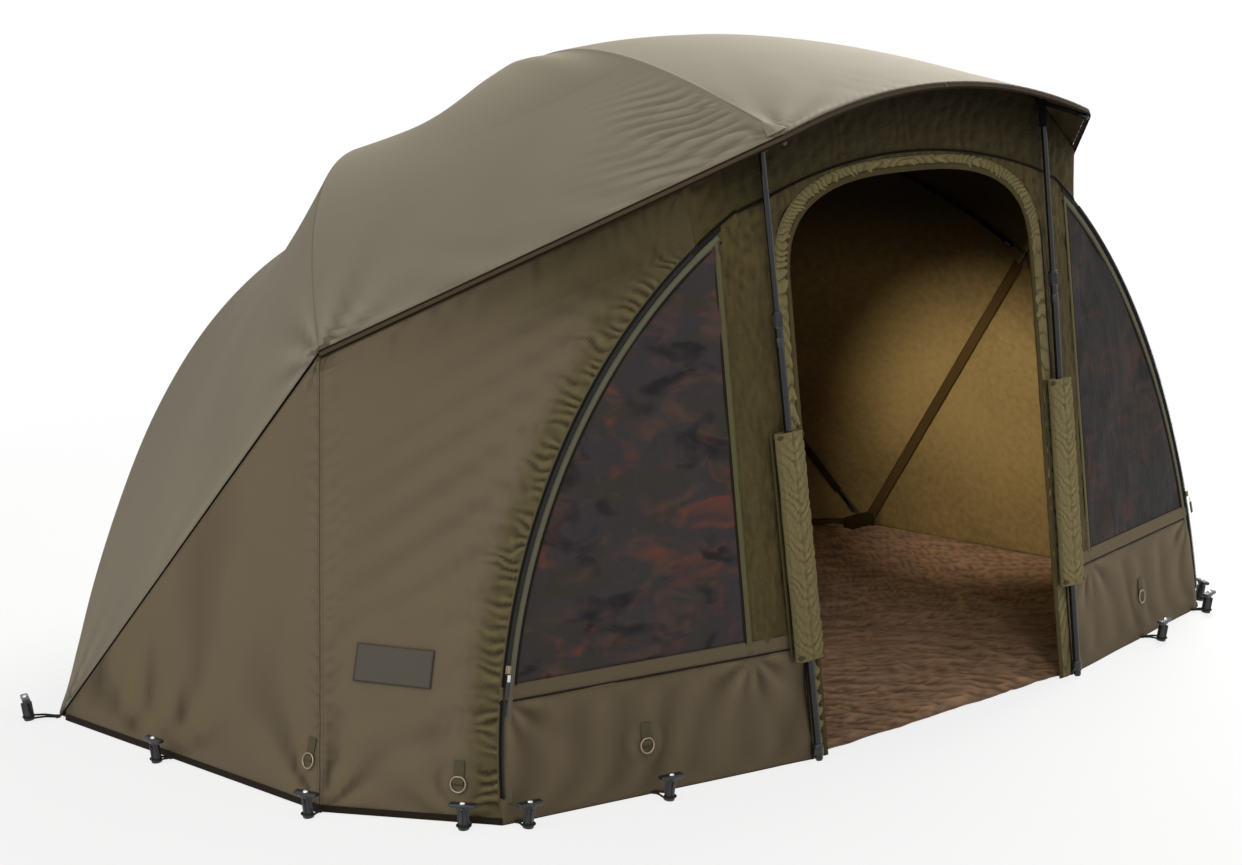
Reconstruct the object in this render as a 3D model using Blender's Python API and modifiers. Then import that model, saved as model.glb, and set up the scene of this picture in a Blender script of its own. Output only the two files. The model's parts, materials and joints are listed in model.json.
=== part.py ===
"""Fishing brolly shelter: a tilted umbrella frame with walls, a zipped front and two storm poles.

Metres, +Z up, the front faces -Y and the origin is on the ground in the middle of the floor.
The frame is six bowed ribs round a hub, six stretchers and a runner on the centre tube.
Points off the middle are given for the right side (+X), and side = -1 mirrors them to the left.
"""
import bpy
import bmesh
from math import acos, atan2, cos, pi, radians, sin
from mathutils import Matrix, Vector
from mathutils.bvhtree import BVHTree

# Umbrella frame
TILT = radians(32.0)                      # the centre tube leans back from upright
HUB = Vector((0.0, 0.650, 1.000))         # where the roof seams meet
FRONT_TIP = Vector((0.4867, -0.7568, 1.2106))
SIDE_TIP = Vector((1.1098, -0.1520, 0.8064))
REAR_TIP = Vector((1.2922, 0.4845, 0.0))
REAR_FOOT = Vector((0.0, 0.850, 0.0))     # middle of the back hem
FRONT_BOW, SIDE_BOW, REAR_BOW, BACK_BOW = 0.240, 0.245, 0.255, 0.120
END_SKEW = -0.342                         # the front and rear ribs bow more near the hub
SIDE_SKEW = 0.063
BACK_SKEW = -0.550
RIB_R = 0.0045
RIB_DROP = 0.014                          # rib centre below the cloth's middle
FRONT_RIB_END, SIDE_RIB_END, REAR_RIB_END = 1.000, 0.975, 0.965
RIB_ROOT_FROM, RIB_ROOT_TO = 0.024, 0.120  # shares between which a rib leaves the cloth for its pivot
RIB_ROOT_SHARES = (0.035, 0.060)
RIB_FREE_FROM, RIB_STEPS = 0.100, 14
PIVOT_DROP = 0.030                        # rib pivots below the roof's hub point
PIVOT_R = 0.034
CLOSED_ANGLE = radians(9.0)               # folded rib tip off the tube

# Hub, tube and runner
HUB_BLOCK_R, HUB_BLOCK_H = 0.042, 0.026
CAP_NECK_R, CAP_R, CAP_H = 0.0110, 0.024, 0.012
TUBE_R, TUBE_END = 0.0080, 0.605
RUNNER_REST = 0.200                       # stretcher pivots below the rib pivots
RUNNER_TRAVEL = 0.360
RUNNER_PIVOT_R = 0.040
FLANGE_R, FLANGE_H = 0.045, 0.014
RUNNER_BODY_R, RUNNER_BODY_H = 0.019, 0.046
STRETCHER_R = 0.0035
BUTTON_R, BUTTON_H, BUTTON_POCKET = 0.0060, 0.0080, 0.0050
BUTTON_TRAVEL = 0.0025

# Cloth
CLOTH = 0.004
MESH_CLOTH = 0.0026
FRONT_SAG, SIDE_SAG, BACK_BULGE = 0.017, 0.030, 0.120
ARCH_RISE = 0.077                         # peak of the front edge over the front rib tips
CANOPY_HOLE = 0.0095                      # share of each roof line left out round the hub
SEAT = 0.0003                             # gap between touching solids
BUTT_GAP = 0.0012                         # between cloth edges that are sewn together
RIM_GAP = 0.0060                          # wall top under the canopy's edge
CANOPY_COLUMNS, CANOPY_ROWS = (4, 6, 7, 7), 16
WALL_AFT_COLUMNS, WALL_FORE_COLUMNS = 5, 6
WALL_REAR_SHARE = 0.030                   # the wall starts this far along from the rear foot
HEADER_CLEAR = 0.0036                     # header top under the canopy's underside
HEADER_NOTCH, HEADER_NOTCH_HALF = 0.0296, 0.100

# Front wall plane and its zip arc
FRONT_Y, FRONT_LEAN, WING_RAKE, WING_X = -0.800, 0.121, 0.196, 0.430
ZIP_R = 1.182
ZIP_FOOT_X, ZIP_TOP_X = 1.1262, 0.6034
ZIP_TOP_DROP = 0.1313                     # upper end of the arc below the roof's edge
SIDE_FOOT = Vector((1.307, -0.368, 0.0))
ZIP_STEPS = 18                            # facets of the arc, shared by the pieces that meet there
DOOR_SEAM_STEPS, WING_SEAM_STEPS = 6, 2
SEAM_PEAK_Z, SEAM_JOIN_Z, SEAM_JOIN_X = 1.147, 1.060, 0.508
DOOR_HALF, DOOR_TOP, DOOR_SHOULDER, DOOR_POWER = 0.385, 1.110, 0.200, 2.8
WINDOW_INNER_X, WINDOW_SILL_Z, WINDOW_MARGIN = 0.552, 0.250, 0.026
TRACK_R, TRACK_INSET = 0.0025, 0.0050
TRACK_LOW_GAP, TRACK_HIGH_GAP = radians(2.45), radians(1.85)  # arc left free at its two ends
TRACK_STEPS = 24

# Storm poles
POLE_STAND_OFF = 0.016                    # pole axis in front of the front wall's plane
POLE_FOOT_X, POLE_FOOT_LIFT = 0.428, 0.0015
UPPER_R, LOWER_R = 0.0062, 0.0078
POLE_CLEAR, SLEEVE_CLEAR = 0.0004, 0.0008
SWIVEL_THICK, SWIVEL_WIDTH, SWIVEL_DROP, SWIVEL_BITE = 0.008, 0.014, 0.052, 0.004
FOOT_EDGE_H, FOOT_EDGE_W = 0.004, 0.002
POLE_JOIN = 0.842                         # top of the lower tube, measured up from the foot
POLE_OVERLAP, BORE_DEPTH = 0.120, 0.420
COLLAR_R, COLLAR_H = 0.0100, 0.034
SLEEVE_LOW, SLEEVE_HIGH, SLEEVE_WIDTH, SLEEVE_DEPTH = 0.200, 0.645, 0.054, 0.024
SLEEVE_EDGE = 0.006

# Small fittings
SLIDER_UP = radians(13.75)                # from the foot of the arc
SLIDER_LONG, SLIDER_WIDE, SLIDER_THICK, SLIDER_EDGE = 0.016, 0.011, 0.005, 0.0012
PULLER_LONG, PULLER_WIDE, PULLER_THICK = 0.040, 0.009, 0.003
PULLER_DROP, PULLER_PROUD = 0.0022, 0.0005
LABEL_LONG, LABEL_HIGH, LABEL_THICK = 0.157, 0.070, 0.0012
LABEL_AT = (0.655, 0.275)                 # places on the wall: share from back to front, and from hem up
TAB_WIDE, TAB_HIGH, TAB_THICK = 0.020, 0.040, 0.0020
RING_R, RING_WIRE, RING_HANG = 0.0145, 0.0018, 0.0080
SIDE_TAB_AT, CORNER_TAB_AT = (0.440, 0.115), (0.875, 0.065)
FRONT_TAB_IN, FRONT_TAB_LIFT = 0.3182, 0.100   # from the foot of the arc
PEG_BAR_LONG, PEG_BAR_WIDE, PEG_BAR_THICK = 0.052, 0.018, 0.007
PEG_STEM_TOP, PEG_STEM_FOOT, PEG_HIGH = 0.0065, 0.0110, 0.046
PEG_LEAN = radians(9.0)
LOOP_R, LOOP_LIFT = 0.0022, 0.0055
PEG_REAR_OFF, PEG_SIDE_OFF, PEG_FRONT_OFF, PEG_BACK_OFF = 0.060, 0.035, 0.048, 0.045
PEG_SIDE_SHARE, PEG_WALL_SHARE = 0.460, 0.820   # along the hem between its corners, from the back
PEG_CORNER_SHARE, PEG_FRONT_SHARE = 0.045, 0.470
SHEET_THICK, SHEET_INSET = 0.003, 0.019

HUB_SLOT_FROM = PIVOT_R - RIB_R - SEAT * 2.0
RUNNER_BORE = TUBE_R + SEAT
LOWER_BORE = UPPER_R + POLE_CLEAR
SLEEVE_BORE = LOWER_R + SLEEVE_CLEAR
PROBE = 0.020                             # rays on to the cloth start this far off it
AXIS = Vector((0.0, sin(TILT), cos(TILT)))
FORWARD = Vector((0.0, -cos(TILT), sin(TILT)))
SIDES = (("left", -1.0), ("right", 1.0))


def mirrored(point, side):
    """Put a right-hand point on the side asked for."""
    return Vector((point.x * side, point.y, point.z))


def blend(low, high, share):
    """Mix two numbers or vectors."""
    return low * (1.0 - share) + high * share


def solve(miss, low, high):
    """Find where a function of one value crosses zero between two values."""
    low_sign = miss(low) > 0.0
    for _ in range(60):
        middle = 0.5 * (low + high)
        if (miss(middle) > 0.0) == low_sign:
            low = middle
        else:
            high = middle
    return 0.5 * (low + high)


class Meridian:
    """One bowed line of the roof from the hub to its edge, with a rib under it or not."""

    def __init__(self, tip, bow, skew):
        self.tip = tip
        self.bow = bow
        self.skew = skew
        chord = (tip - HUB).normalized()
        self.up = (AXIS - chord * AXIS.dot(chord)).normalized()
        spoke = tip - HUB
        self.outward = (spoke - AXIS * spoke.dot(AXIS)).normalized()

    def cloth(self, share):
        """Point on the cloth, share 0 at the hub and 1 at the edge."""
        rise = 4.0 * share * (1.0 - share) * (1.0 + self.skew * (2.0 * share - 1.0)) * self.bow
        return blend(HUB, self.tip, share) + self.up * rise

    def pivot(self):
        """Rib pivot in the hub block."""
        return HUB - AXIS * PIVOT_DROP + self.outward * PIVOT_R

    def centre(self, share):
        """Rib centre, which runs from the pivot to just under the cloth."""
        under = self.cloth(share) - self.up * RIB_DROP
        root = self.cloth(RIB_ROOT_FROM) - self.up * RIB_DROP
        near_hub = max(0.0, 1.0 - share / RIB_ROOT_TO) ** 2
        return under + (self.pivot() - root) * near_hub

    def hinge_axis(self):
        """Axis that folds the rib down towards the tube when it turns positively."""
        return AXIS.cross(self.outward).normalized()

    def fold_angle(self):
        """Turn of the rib from open to folded."""
        spoke = self.tip - self.pivot()
        return acos(-AXIS.dot(spoke.normalized())) - CLOSED_ANGLE


RIBS = {
    "front": Meridian(FRONT_TIP, FRONT_BOW, END_SKEW),
    "side": Meridian(SIDE_TIP, SIDE_BOW, SIDE_SKEW),
    "rear": Meridian(REAR_TIP, REAR_BOW, END_SKEW),
}
BACK = Meridian(REAR_FOOT, BACK_BOW, BACK_SKEW)
RUNNER_CENTRE = HUB - AXIS * (PIVOT_DROP + RUNNER_REST)


def stretcher_share(rib):
    """Place of a stretcher's pin along its rib, the same distance from the runner open and folded."""
    turn = Matrix.Rotation(rib.fold_angle(), 3, rib.hinge_axis())
    seat = RUNNER_CENTRE + rib.outward * RUNNER_PIVOT_R

    def miss(share):
        pin = rib.centre(share)
        folded = rib.pivot() + turn @ (pin - rib.pivot())
        return (pin - seat).length - (folded - seat + AXIS * RUNNER_TRAVEL).length

    return solve(miss, RIB_ROOT_TO, 0.45)


def sideways(rib, side):
    """Unit vector square to the rib's plane, away from the front middle."""
    across = rib.outward
    turn = Vector((1.0, 0.0, 0.0)) * across.dot(FORWARD) - FORWARD * across.x
    return mirrored(turn.normalized(), side)


# Front wall

def front_y(x, z):
    """Depth of the front wall's plane, raked back on both wings."""
    return FRONT_Y + FRONT_LEAN * z + WING_RAKE * max(abs(x) - WING_X, 0.0)


def front_point(x, z):
    """Point on the front wall's plane."""
    return Vector((x, front_y(x, z), z))


WING_FACE = Vector((WING_RAKE, -1.0, FRONT_LEAN)).normalized()
WING_ACROSS = Vector((1.0, WING_RAKE, 0.0)).normalized()
WING_UP = WING_FACE.cross(WING_ACROSS)


def roof_edge_z(x):
    """Height of the roof's edge between the front and side tips."""
    return blend(FRONT_TIP, SIDE_TIP, (x - FRONT_TIP.x) / (SIDE_TIP.x - FRONT_TIP.x)).z


def arc_centre(low, high, radius):
    """Centre of the wing's arc of this radius through two points."""
    half = (high - low) / 2.0
    inward = WING_FACE.cross(half).normalized()
    return low + half + inward * (radius ** 2 - half.length_squared) ** 0.5


FRONT_FOOT = front_point(ZIP_FOOT_X, 0.0)
ZIP_HEAD = front_point(ZIP_TOP_X, roof_edge_z(ZIP_TOP_X) - ZIP_TOP_DROP)
ZIP_CENTRE = arc_centre(FRONT_FOOT, ZIP_HEAD, ZIP_R)


def zip_angle(point):
    """Angle of a point of the wing round the arc's centre."""
    offset = point - ZIP_CENTRE
    return atan2(offset.dot(WING_UP), offset.dot(WING_ACROSS))


FRONT_FOOT_ANGLE = zip_angle(FRONT_FOOT)
ZIP_TOP_ANGLE = zip_angle(ZIP_HEAD)


def zip_point(angle, radius=ZIP_R, proud=0.0):
    """Point on the right wing's zip arc, or beside it, or proud of the wing's face."""
    in_plane = WING_ACROSS * (radius * cos(angle)) + WING_UP * (radius * sin(angle))
    return ZIP_CENTRE + in_plane + WING_FACE * proud


def seam_z(x):
    """Height of the seam over the door."""
    rise = SEAM_PEAK_Z - SEAM_JOIN_Z
    radius = (SEAM_JOIN_X ** 2 + rise ** 2) / (2.0 * rise)
    return SEAM_PEAK_Z - radius + (radius ** 2 - x ** 2) ** 0.5


# Scene helpers

def clear_scene():
    """Remove what the new file starts with."""
    for item in list(bpy.data.objects):
        bpy.data.objects.remove(item, do_unlink=True)


def make_collection(name):
    """Add a collection to the scene."""
    collection = bpy.data.collections.new(name)
    bpy.context.scene.collection.children.link(collection)
    return collection


clear_scene()
PARTS = make_collection("fishing_brolly_shelter")
CUTTERS = make_collection("cutters")


def material(name, colour, roughness, metallic=0.0):
    """Principled material of one sub-part."""
    made = bpy.data.materials.new(name)
    made.use_nodes = True
    shader = made.node_tree.nodes["Principled BSDF"]
    shader.inputs["Base Color"].default_value = (*colour, 1.0)
    shader.inputs["Roughness"].default_value = roughness
    shader.inputs["Metallic"].default_value = metallic
    return made


def add_object(name, data, finish, place=Matrix.Identity(4)):
    """Link a mesh or curve as a named part."""
    made = bpy.data.objects.new(name, data)
    data.materials.append(finish)
    made.matrix_world = place
    PARTS.objects.link(made)
    return made


def finish_mesh(bm, name):
    """Turn a bmesh into a mesh with its faces pointing out."""
    bmesh.ops.recalc_face_normals(bm, faces=bm.faces)
    data = bpy.data.meshes.new(name)
    bm.to_mesh(data)
    bm.free()
    return data


def frame_at(origin, along, aim=Vector((0.0, 0.0, 1.0))):
    """Matrix with Z along a direction and X as near as can be to another."""
    z = along.normalized()
    x = aim - z * aim.dot(z)
    if x.length < 1e-6:
        x = z.orthogonal()
    x.normalize()
    y = z.cross(x)
    turn = Matrix((x, y, z)).transposed()
    return Matrix.Translation(origin) @ turn.to_4x4()


def evaluated(made):
    """Mesh of an object with its modifiers applied, in its own space."""
    bpy.context.view_layer.update()
    graph = bpy.context.evaluated_depsgraph_get()
    return bpy.data.meshes.new_from_object(made.evaluated_get(graph), depsgraph=graph)


def cylinder(name, start, end, radius, finish, sides=16):
    """Round rod between two points, with its origin at the start."""
    bm = bmesh.new()
    length = (end - start).length
    bmesh.ops.create_cone(bm, cap_ends=True, segments=sides, radius1=radius, radius2=radius,
                          depth=length, matrix=Matrix.Translation((0.0, 0.0, length / 2.0)))
    return add_object(name, finish_mesh(bm, name), finish, frame_at(start, end - start))


def box_mesh(name, size, middle=Vector((0.0, 0.0, 0.0))):
    """Box mesh of a size round a middle."""
    bm = bmesh.new()
    place = Matrix.Translation(middle) @ Matrix.Diagonal((*size, 1.0))
    bmesh.ops.create_cube(bm, size=1.0, matrix=place)
    return finish_mesh(bm, name)


def turned(name, profile, finish, place, steps=32):
    """Turned piece: radius and height pairs down the outer side, spun about Z."""
    data = bpy.data.meshes.new(name)
    closed = profile[0] == profile[-1]
    points = profile[:-1] if closed else profile
    count = len(points)
    edges = [(i, (i + 1) % count) for i in range(count if closed else count - 1)]
    data.from_pydata([(radius, 0.0, height) for radius, height in points], edges, [])
    made = add_object(name, data, finish, place)
    screw = made.modifiers.new("turn", "SCREW")
    screw.steps = steps
    screw.render_steps = steps
    screw.use_merge_vertices = True
    screw.merge_threshold = 0.0001
    return made


def wire(name, points, radius, finish, resolution=2, place=Matrix.Identity(4)):
    """Round bar along a line of points."""
    data = bpy.data.curves.new(name, "CURVE")
    data.dimensions = "3D"
    data.bevel_depth = radius
    data.bevel_resolution = resolution
    data.use_fill_caps = True
    spline = data.splines.new("POLY")
    spline.points.add(len(points) - 1)
    for slot, point in zip(spline.points, points):
        slot.co = (*point, 1.0)
    return add_object(name, data, finish, place)


def make_cutter(name, data, place):
    """Hidden solid for a Boolean."""
    cutter = bpy.data.objects.new(name, data)
    cutter.matrix_world = place
    cutter.hide_render = True
    cutter.display_type = "WIRE"
    CUTTERS.objects.link(cutter)
    return cutter


def boolean(made, cutter, operation="DIFFERENCE"):
    """Cut or join with an exact Boolean."""
    step = made.modifiers.new(cutter.name, "BOOLEAN")
    step.operation = operation
    step.solver = "EXACT"
    step.object = cutter


def outline_mesh(name, outlines, thickness):
    """Flat plate in XZ from closed outlines, the first one outside and the others holes."""
    data = bpy.data.curves.new(name, "CURVE")
    data.dimensions = "2D"
    data.fill_mode = "BOTH"
    data.extrude = thickness / 2.0
    for outline in outlines:
        spline = data.splines.new("POLY")
        spline.points.add(len(outline) - 1)
        for slot, (x, z) in zip(spline.points, outline):
            slot.co = (x, z, 0.0, 1.0)
        spline.use_cyclic_u = True
    guide = bpy.data.objects.new(name, data)
    PARTS.objects.link(guide)
    mesh = evaluated(guide)
    bpy.data.objects.remove(guide, do_unlink=True)
    bm = bmesh.new()
    bm.from_mesh(mesh)
    bmesh.ops.remove_doubles(bm, verts=bm.verts, dist=0.00005)
    bmesh.ops.rotate(bm, verts=bm.verts, matrix=Matrix.Rotation(pi / 2.0, 3, "X"))
    return bm


def sheet(name, across, along, place, finish, thickness=CLOTH, mirror=False):
    """Cloth: a grid laid on a surface, thickened, with its hem cut flat on the ground."""
    bm = bmesh.new()
    bmesh.ops.create_grid(bm, x_segments=across, y_segments=along, size=1.0)
    for vert in bm.verts:
        vert.co = place((vert.co.x + 1.0) / 2.0, (vert.co.y + 1.0) / 2.0)
    made = add_object(name, finish_mesh(bm, name), finish)
    if mirror:
        halves = made.modifiers.new("mirror", "MIRROR")
        halves.merge_threshold = 0.0001
        halves.use_mirror_merge = True
    shell = made.modifiers.new("thickness", "SOLIDIFY")
    shell.thickness = thickness
    shell.offset = 0.0
    flat = evaluated(made)
    made.modifiers.clear()
    for vert in flat.vertices:
        if vert.co.z < thickness:
            vert.co.z = 0.0
    made.data = flat
    return made


# Finishes

def finishes():
    """Materials of the sub-parts."""
    return {
        "canopy": material("canopy_cloth", (0.205, 0.180, 0.125), 0.80),
        "wall": material("wall_cloth", (0.150, 0.130, 0.085), 0.85),
        "front": material("front_cloth", (0.125, 0.115, 0.055), 0.85),
        "mesh": material("window_mesh", (0.050, 0.030, 0.025), 0.70),
        "ground": material("groundsheet_cloth", (0.150, 0.085, 0.050), 0.70),
        "zip": material("zip_tape", (0.020, 0.018, 0.014), 0.60),
        "frame": material("dark_alloy", (0.035, 0.036, 0.040), 0.35, 0.8),
        "plastic": material("black_plastic", (0.012, 0.012, 0.013), 0.45),
        "bright": material("bright_metal", (0.600, 0.600, 0.600), 0.30, 1.0),
        "label": material("label_cloth", (0.060, 0.055, 0.040), 0.80),
    }


FINISH = finishes()


# Umbrella

def hub_frame(drop):
    """Frame on the tube's axis, below the roof's hub point, with X to the front."""
    return frame_at(HUB - AXIS * drop, AXIS, FORWARD)


def slot_cutter(name, centre, rib, side, offset, width, inner, height):
    """Radial slot from an inner radius outwards, beside a rib's plane by an offset."""
    outward = mirrored(rib.outward, side)
    reach = 0.06
    data = box_mesh(name, Vector((reach, width, height)), Vector((inner + reach / 2.0, 0.0, 0.0)))
    origin = centre + sideways(rib, side) * offset
    return make_cutter(name, data, frame_at(origin, AXIS, outward))


def make_hub():
    """Hub block with a slot for each rib, and the cap over the canopy's hole."""
    half = HUB_BLOCK_H / 2.0
    block = turned("hub_block", [(0.0, half), (HUB_BLOCK_R, half), (HUB_BLOCK_R, -half), (0.0, -half)],
                   FINISH["plastic"], hub_frame(PIVOT_DROP))
    for kind, rib in RIBS.items():
        for word, side in SIDES:
            cutter = slot_cutter(f"hub_slot_{kind}_{word}", HUB - AXIS * PIVOT_DROP, rib, side, 0.0,
                                 2.0 * (RIB_R + SEAT), HUB_SLOT_FROM, HUB_BLOCK_H * 2.0)
            boolean(block, cutter)
    lift = max(AXIS.dot(rib.cloth(solve_radius(rib, CAP_R)) - HUB) for rib in RIBS.values())
    foot = half - PIVOT_DROP + SEAT
    low = lift + CLOTH / 2.0 + SEAT * 4.0
    profile = [(0.0, low + CAP_H), (CAP_R * 0.6, low + CAP_H * 0.85), (CAP_R, low + CAP_H * 0.35),
               (CAP_R, low), (CAP_NECK_R, low), (CAP_NECK_R, foot), (0.0, foot)]
    turned("hub_cap", profile, FINISH["plastic"], hub_frame(0.0))


def solve_radius(line, radius):
    """Share of a roof line at a distance from the tube's axis."""
    def miss(share):
        spoke = line.cloth(share) - HUB
        return (spoke - AXIS * spoke.dot(AXIS)).length - radius
    return solve(miss, 0.0, 0.2)


def make_tube_and_runner():
    """Centre tube, the runner with a slot for each stretcher, and its lock button."""
    top = PIVOT_DROP + HUB_BLOCK_H / 2.0 + SEAT
    cylinder("centre_tube", HUB - AXIS * top, HUB - AXIS * (PIVOT_DROP + TUBE_END), TUBE_R,
             FINISH["frame"], 24)
    half = FLANGE_H / 2.0
    foot = -half - RUNNER_BODY_H
    profile = [(RUNNER_BORE, half), (FLANGE_R, half), (FLANGE_R, -half), (RUNNER_BODY_R, -half),
               (RUNNER_BODY_R, foot), (RUNNER_BORE, foot), (RUNNER_BORE, half)]
    runner = turned("runner", profile, FINISH["plastic"], hub_frame(PIVOT_DROP + RUNNER_REST))
    offset = RIB_R + STRETCHER_R + SEAT
    for kind, rib in RIBS.items():
        for word, side in SIDES:
            cutter = slot_cutter(f"runner_slot_{kind}_{word}", RUNNER_CENTRE, rib, side, offset,
                                 2.0 * (STRETCHER_R + SEAT), RUNNER_PIVOT_R - STRETCHER_R - SEAT * 3.0,
                                 FLANGE_H * 2.0)
            boolean(runner, cutter)
    button_at = RUNNER_CENTRE - AXIS * (half + RUNNER_BODY_H * 0.5)
    pocket_floor = RUNNER_BODY_R - BUTTON_POCKET
    place = frame_at(button_at - FORWARD * pocket_floor, -FORWARD)
    bm = bmesh.new()
    reach = RUNNER_BODY_R
    bmesh.ops.create_cone(bm, cap_ends=True, segments=20, radius1=BUTTON_R + SEAT,
                          radius2=BUTTON_R + SEAT, depth=reach,
                          matrix=Matrix.Translation((0.0, 0.0, reach / 2.0)))
    boolean(runner, make_cutter("button_pocket", finish_mesh(bm, "button_pocket"), place))
    start = button_at - FORWARD * (pocket_floor + BUTTON_TRAVEL + SEAT)
    cylinder("lock_button", start, start - FORWARD * BUTTON_H, BUTTON_R, FINISH["bright"], 20)


def make_ribs():
    """Six ribs and the stretcher beside each."""
    offset = RIB_R + STRETCHER_R + SEAT
    for kind, rib in RIBS.items():
        end = {"front": FRONT_RIB_END, "side": SIDE_RIB_END, "rear": REAR_RIB_END}[kind]
        free = [blend(RIB_FREE_FROM, end, i / RIB_STEPS) for i in range(RIB_STEPS + 1)]
        line = [rib.pivot()] + [rib.centre(share) for share in (*RIB_ROOT_SHARES, *free)]
        pin = rib.centre(stretcher_share(rib))
        seat = RUNNER_CENTRE + rib.outward * RUNNER_PIVOT_R
        for word, side in SIDES:
            place = Matrix.Translation(mirrored(rib.pivot(), side))
            local = [mirrored(point - rib.pivot(), side) for point in line]
            wire(f"rib_{kind}_{word}", local, RIB_R, FINISH["frame"], 1, place)
            beside = sideways(rib, side) * offset
            cylinder(f"stretcher_{kind}_{word}", mirrored(pin, side) + beside,
                     mirrored(seat, side) + beside, STRETCHER_R, FINISH["frame"], 10)


# Cloth pieces

def front_middle(share):
    """Middle line of the front roof panel."""
    point = RIBS["front"].cloth(share)
    return Vector((0.0, point.y, point.z + ARCH_RISE * share ** 2))


def roof_panel(share, column):
    """Point on the right half of the roof: column 0 at the front middle and 4 at the back middle."""
    lines = [None, RIBS["front"], RIBS["side"], RIBS["rear"], BACK]
    index = min(int(column), 3)
    across = column - index
    if index == 0:
        edge = lines[1].cloth(share)
        rise = ARCH_RISE * share ** 2 * (1.0 - across ** 2)
        return Vector((edge.x * across, edge.y, edge.z + rise))
    first, second = lines[index], lines[index + 1]
    depth = (0.0, -FRONT_SAG, -SIDE_SAG, BACK_BULGE)[index]
    swell = sin(pi * share ** 0.8) if index < 3 else share
    out = blend(first.up, second.up, across)
    if index == 3:
        out.z = 0.0
    out.normalize()
    ruled = blend(first.cloth(share), second.cloth(share), across)
    return ruled + out * (depth * 4.0 * across * (1.0 - across) * swell)


def make_canopy():
    """Roof and back in one cloth, from the hub's hole to the front edge and the back hem."""
    columns = sum(CANOPY_COLUMNS)

    def place(u, w):
        step = round(u * columns)
        column = 0.0
        for index, count in enumerate(CANOPY_COLUMNS):
            if step <= count:
                column = index + step / count
                break
            step -= count
        point = roof_panel(blend(CANOPY_HOLE, 1.0, w), column)
        if point.z < CLOTH:
            point.z = 0.0
        return point

    return sheet("canopy", columns, CANOPY_ROWS, place, FINISH["canopy"], mirror=True)


def header_top(x, tree):
    """Where the front plane meets the canopy's underside."""
    start = front_point(x, DOOR_TOP)
    upward = Vector((0.0, FRONT_LEAN, 1.0)).normalized()
    hit = tree.ray_cast(start, upward)[0]
    rib_x = RIBS["front"].centre(pole_share()).x
    notch = max(0.0, 1.0 - abs(abs(x) - rib_x) / HEADER_NOTCH_HALF) * HEADER_NOTCH
    return hit - upward * (HEADER_CLEAR + notch)


def make_header(tree):
    """Band of cloth between the seam over the door and the canopy."""
    stops = seam_stops()
    whole = [-x for x in reversed(stops[1:])] + stops

    def place(u, w):
        x = whole[round(u * (len(whole) - 1))]
        low = top_edge_z(abs(x))
        return front_point(x, blend(low, header_top(x, tree).z, w))

    return sheet("header_band", len(whole) - 1, 3, place, FINISH["front"])


def seam_stops():
    """Distances from the middle at which the seam over the door is stepped."""
    door = [WING_X * i / DOOR_SEAM_STEPS for i in range(DOOR_SEAM_STEPS + 1)]
    low_wing = [blend(WING_X, SEAM_JOIN_X, i / WING_SEAM_STEPS) for i in range(1, WING_SEAM_STEPS + 1)]
    end = ZIP_HEAD.x - BUTT_GAP
    high_wing = [blend(SEAM_JOIN_X, end, i / WING_SEAM_STEPS) for i in range(1, WING_SEAM_STEPS + 1)]
    return door + low_wing + high_wing


def zip_z(x):
    """Height of the zip arc over a distance from the middle."""
    angle = solve(lambda a: zip_point(a).x - x, FRONT_FOOT_ANGLE, radians(80.0))
    return zip_point(angle).z


def top_edge_z(x):
    """Upper edge of the front infill: the seam over the door, then the zip arc."""
    return seam_z(x) if x < SEAM_JOIN_X else zip_z(x)


def infill_outline():
    """Outline of the front infill with the door cut out of it."""
    door_steps = 9
    radius = ZIP_R - BUTT_GAP
    wing = [zip_point(blend(FRONT_FOOT_ANGLE, ZIP_TOP_ANGLE, i / ZIP_STEPS), radius)
            for i in range(ZIP_STEPS)]
    right = [(point.x, max(point.z, 0.0)) for point in wing]
    right[0] = (right[0][0], 0.0)
    top = [(x, top_edge_z(x) - SEAT * 2.5) for x in reversed(seam_stops())]
    upper = right + top + [(-x, z) for x, z in reversed(right + top[:-1])]
    door = []
    for i in range(door_steps + 1):
        turn = pi / 2.0 * i / door_steps
        x = DOOR_HALF * sin(turn) ** (2.0 / DOOR_POWER)
        z = DOOR_TOP - DOOR_SHOULDER + DOOR_SHOULDER * cos(turn) ** (2.0 / DOOR_POWER)
        door.append((x, z))
    left_door = [(-x, z) for x, z in reversed(door[1:])]
    inner = [(-DOOR_HALF, 0.0)] + left_door + door + [(DOOR_HALF, 0.0)]
    return upper + inner


def window_outline(side, inset):
    """Window between the zip arc, its straight inner edge and the sill."""
    steps = 10
    radius = ZIP_R - WINDOW_MARGIN - inset
    sill = WINDOW_SILL_Z + inset
    inner = WINDOW_INNER_X + inset
    low = solve(lambda a: zip_point(a, radius).z - sill, 0.0, radians(45.0))
    high = solve(lambda a: zip_point(a, radius).x - inner, radians(20.0), radians(80.0))
    arc = [zip_point(blend(low, high, i / steps), radius) for i in range(steps + 1)]
    outline = [(inner, sill)] + [(point.x, point.z) for point in arc]
    return [(side * x, z) for x, z in outline]


def lay_on_front(bm):
    """Bend a flat plate onto the front wall's plane."""
    for x in (-WING_X, WING_X):
        everything = list(bm.verts) + list(bm.edges) + list(bm.faces)
        bmesh.ops.bisect_plane(bm, geom=everything, plane_co=(x, 0.0, 0.0), plane_no=(1.0, 0.0, 0.0))
    for vert in bm.verts:
        vert.co.y += front_y(vert.co.x, vert.co.z)
    return bm


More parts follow.
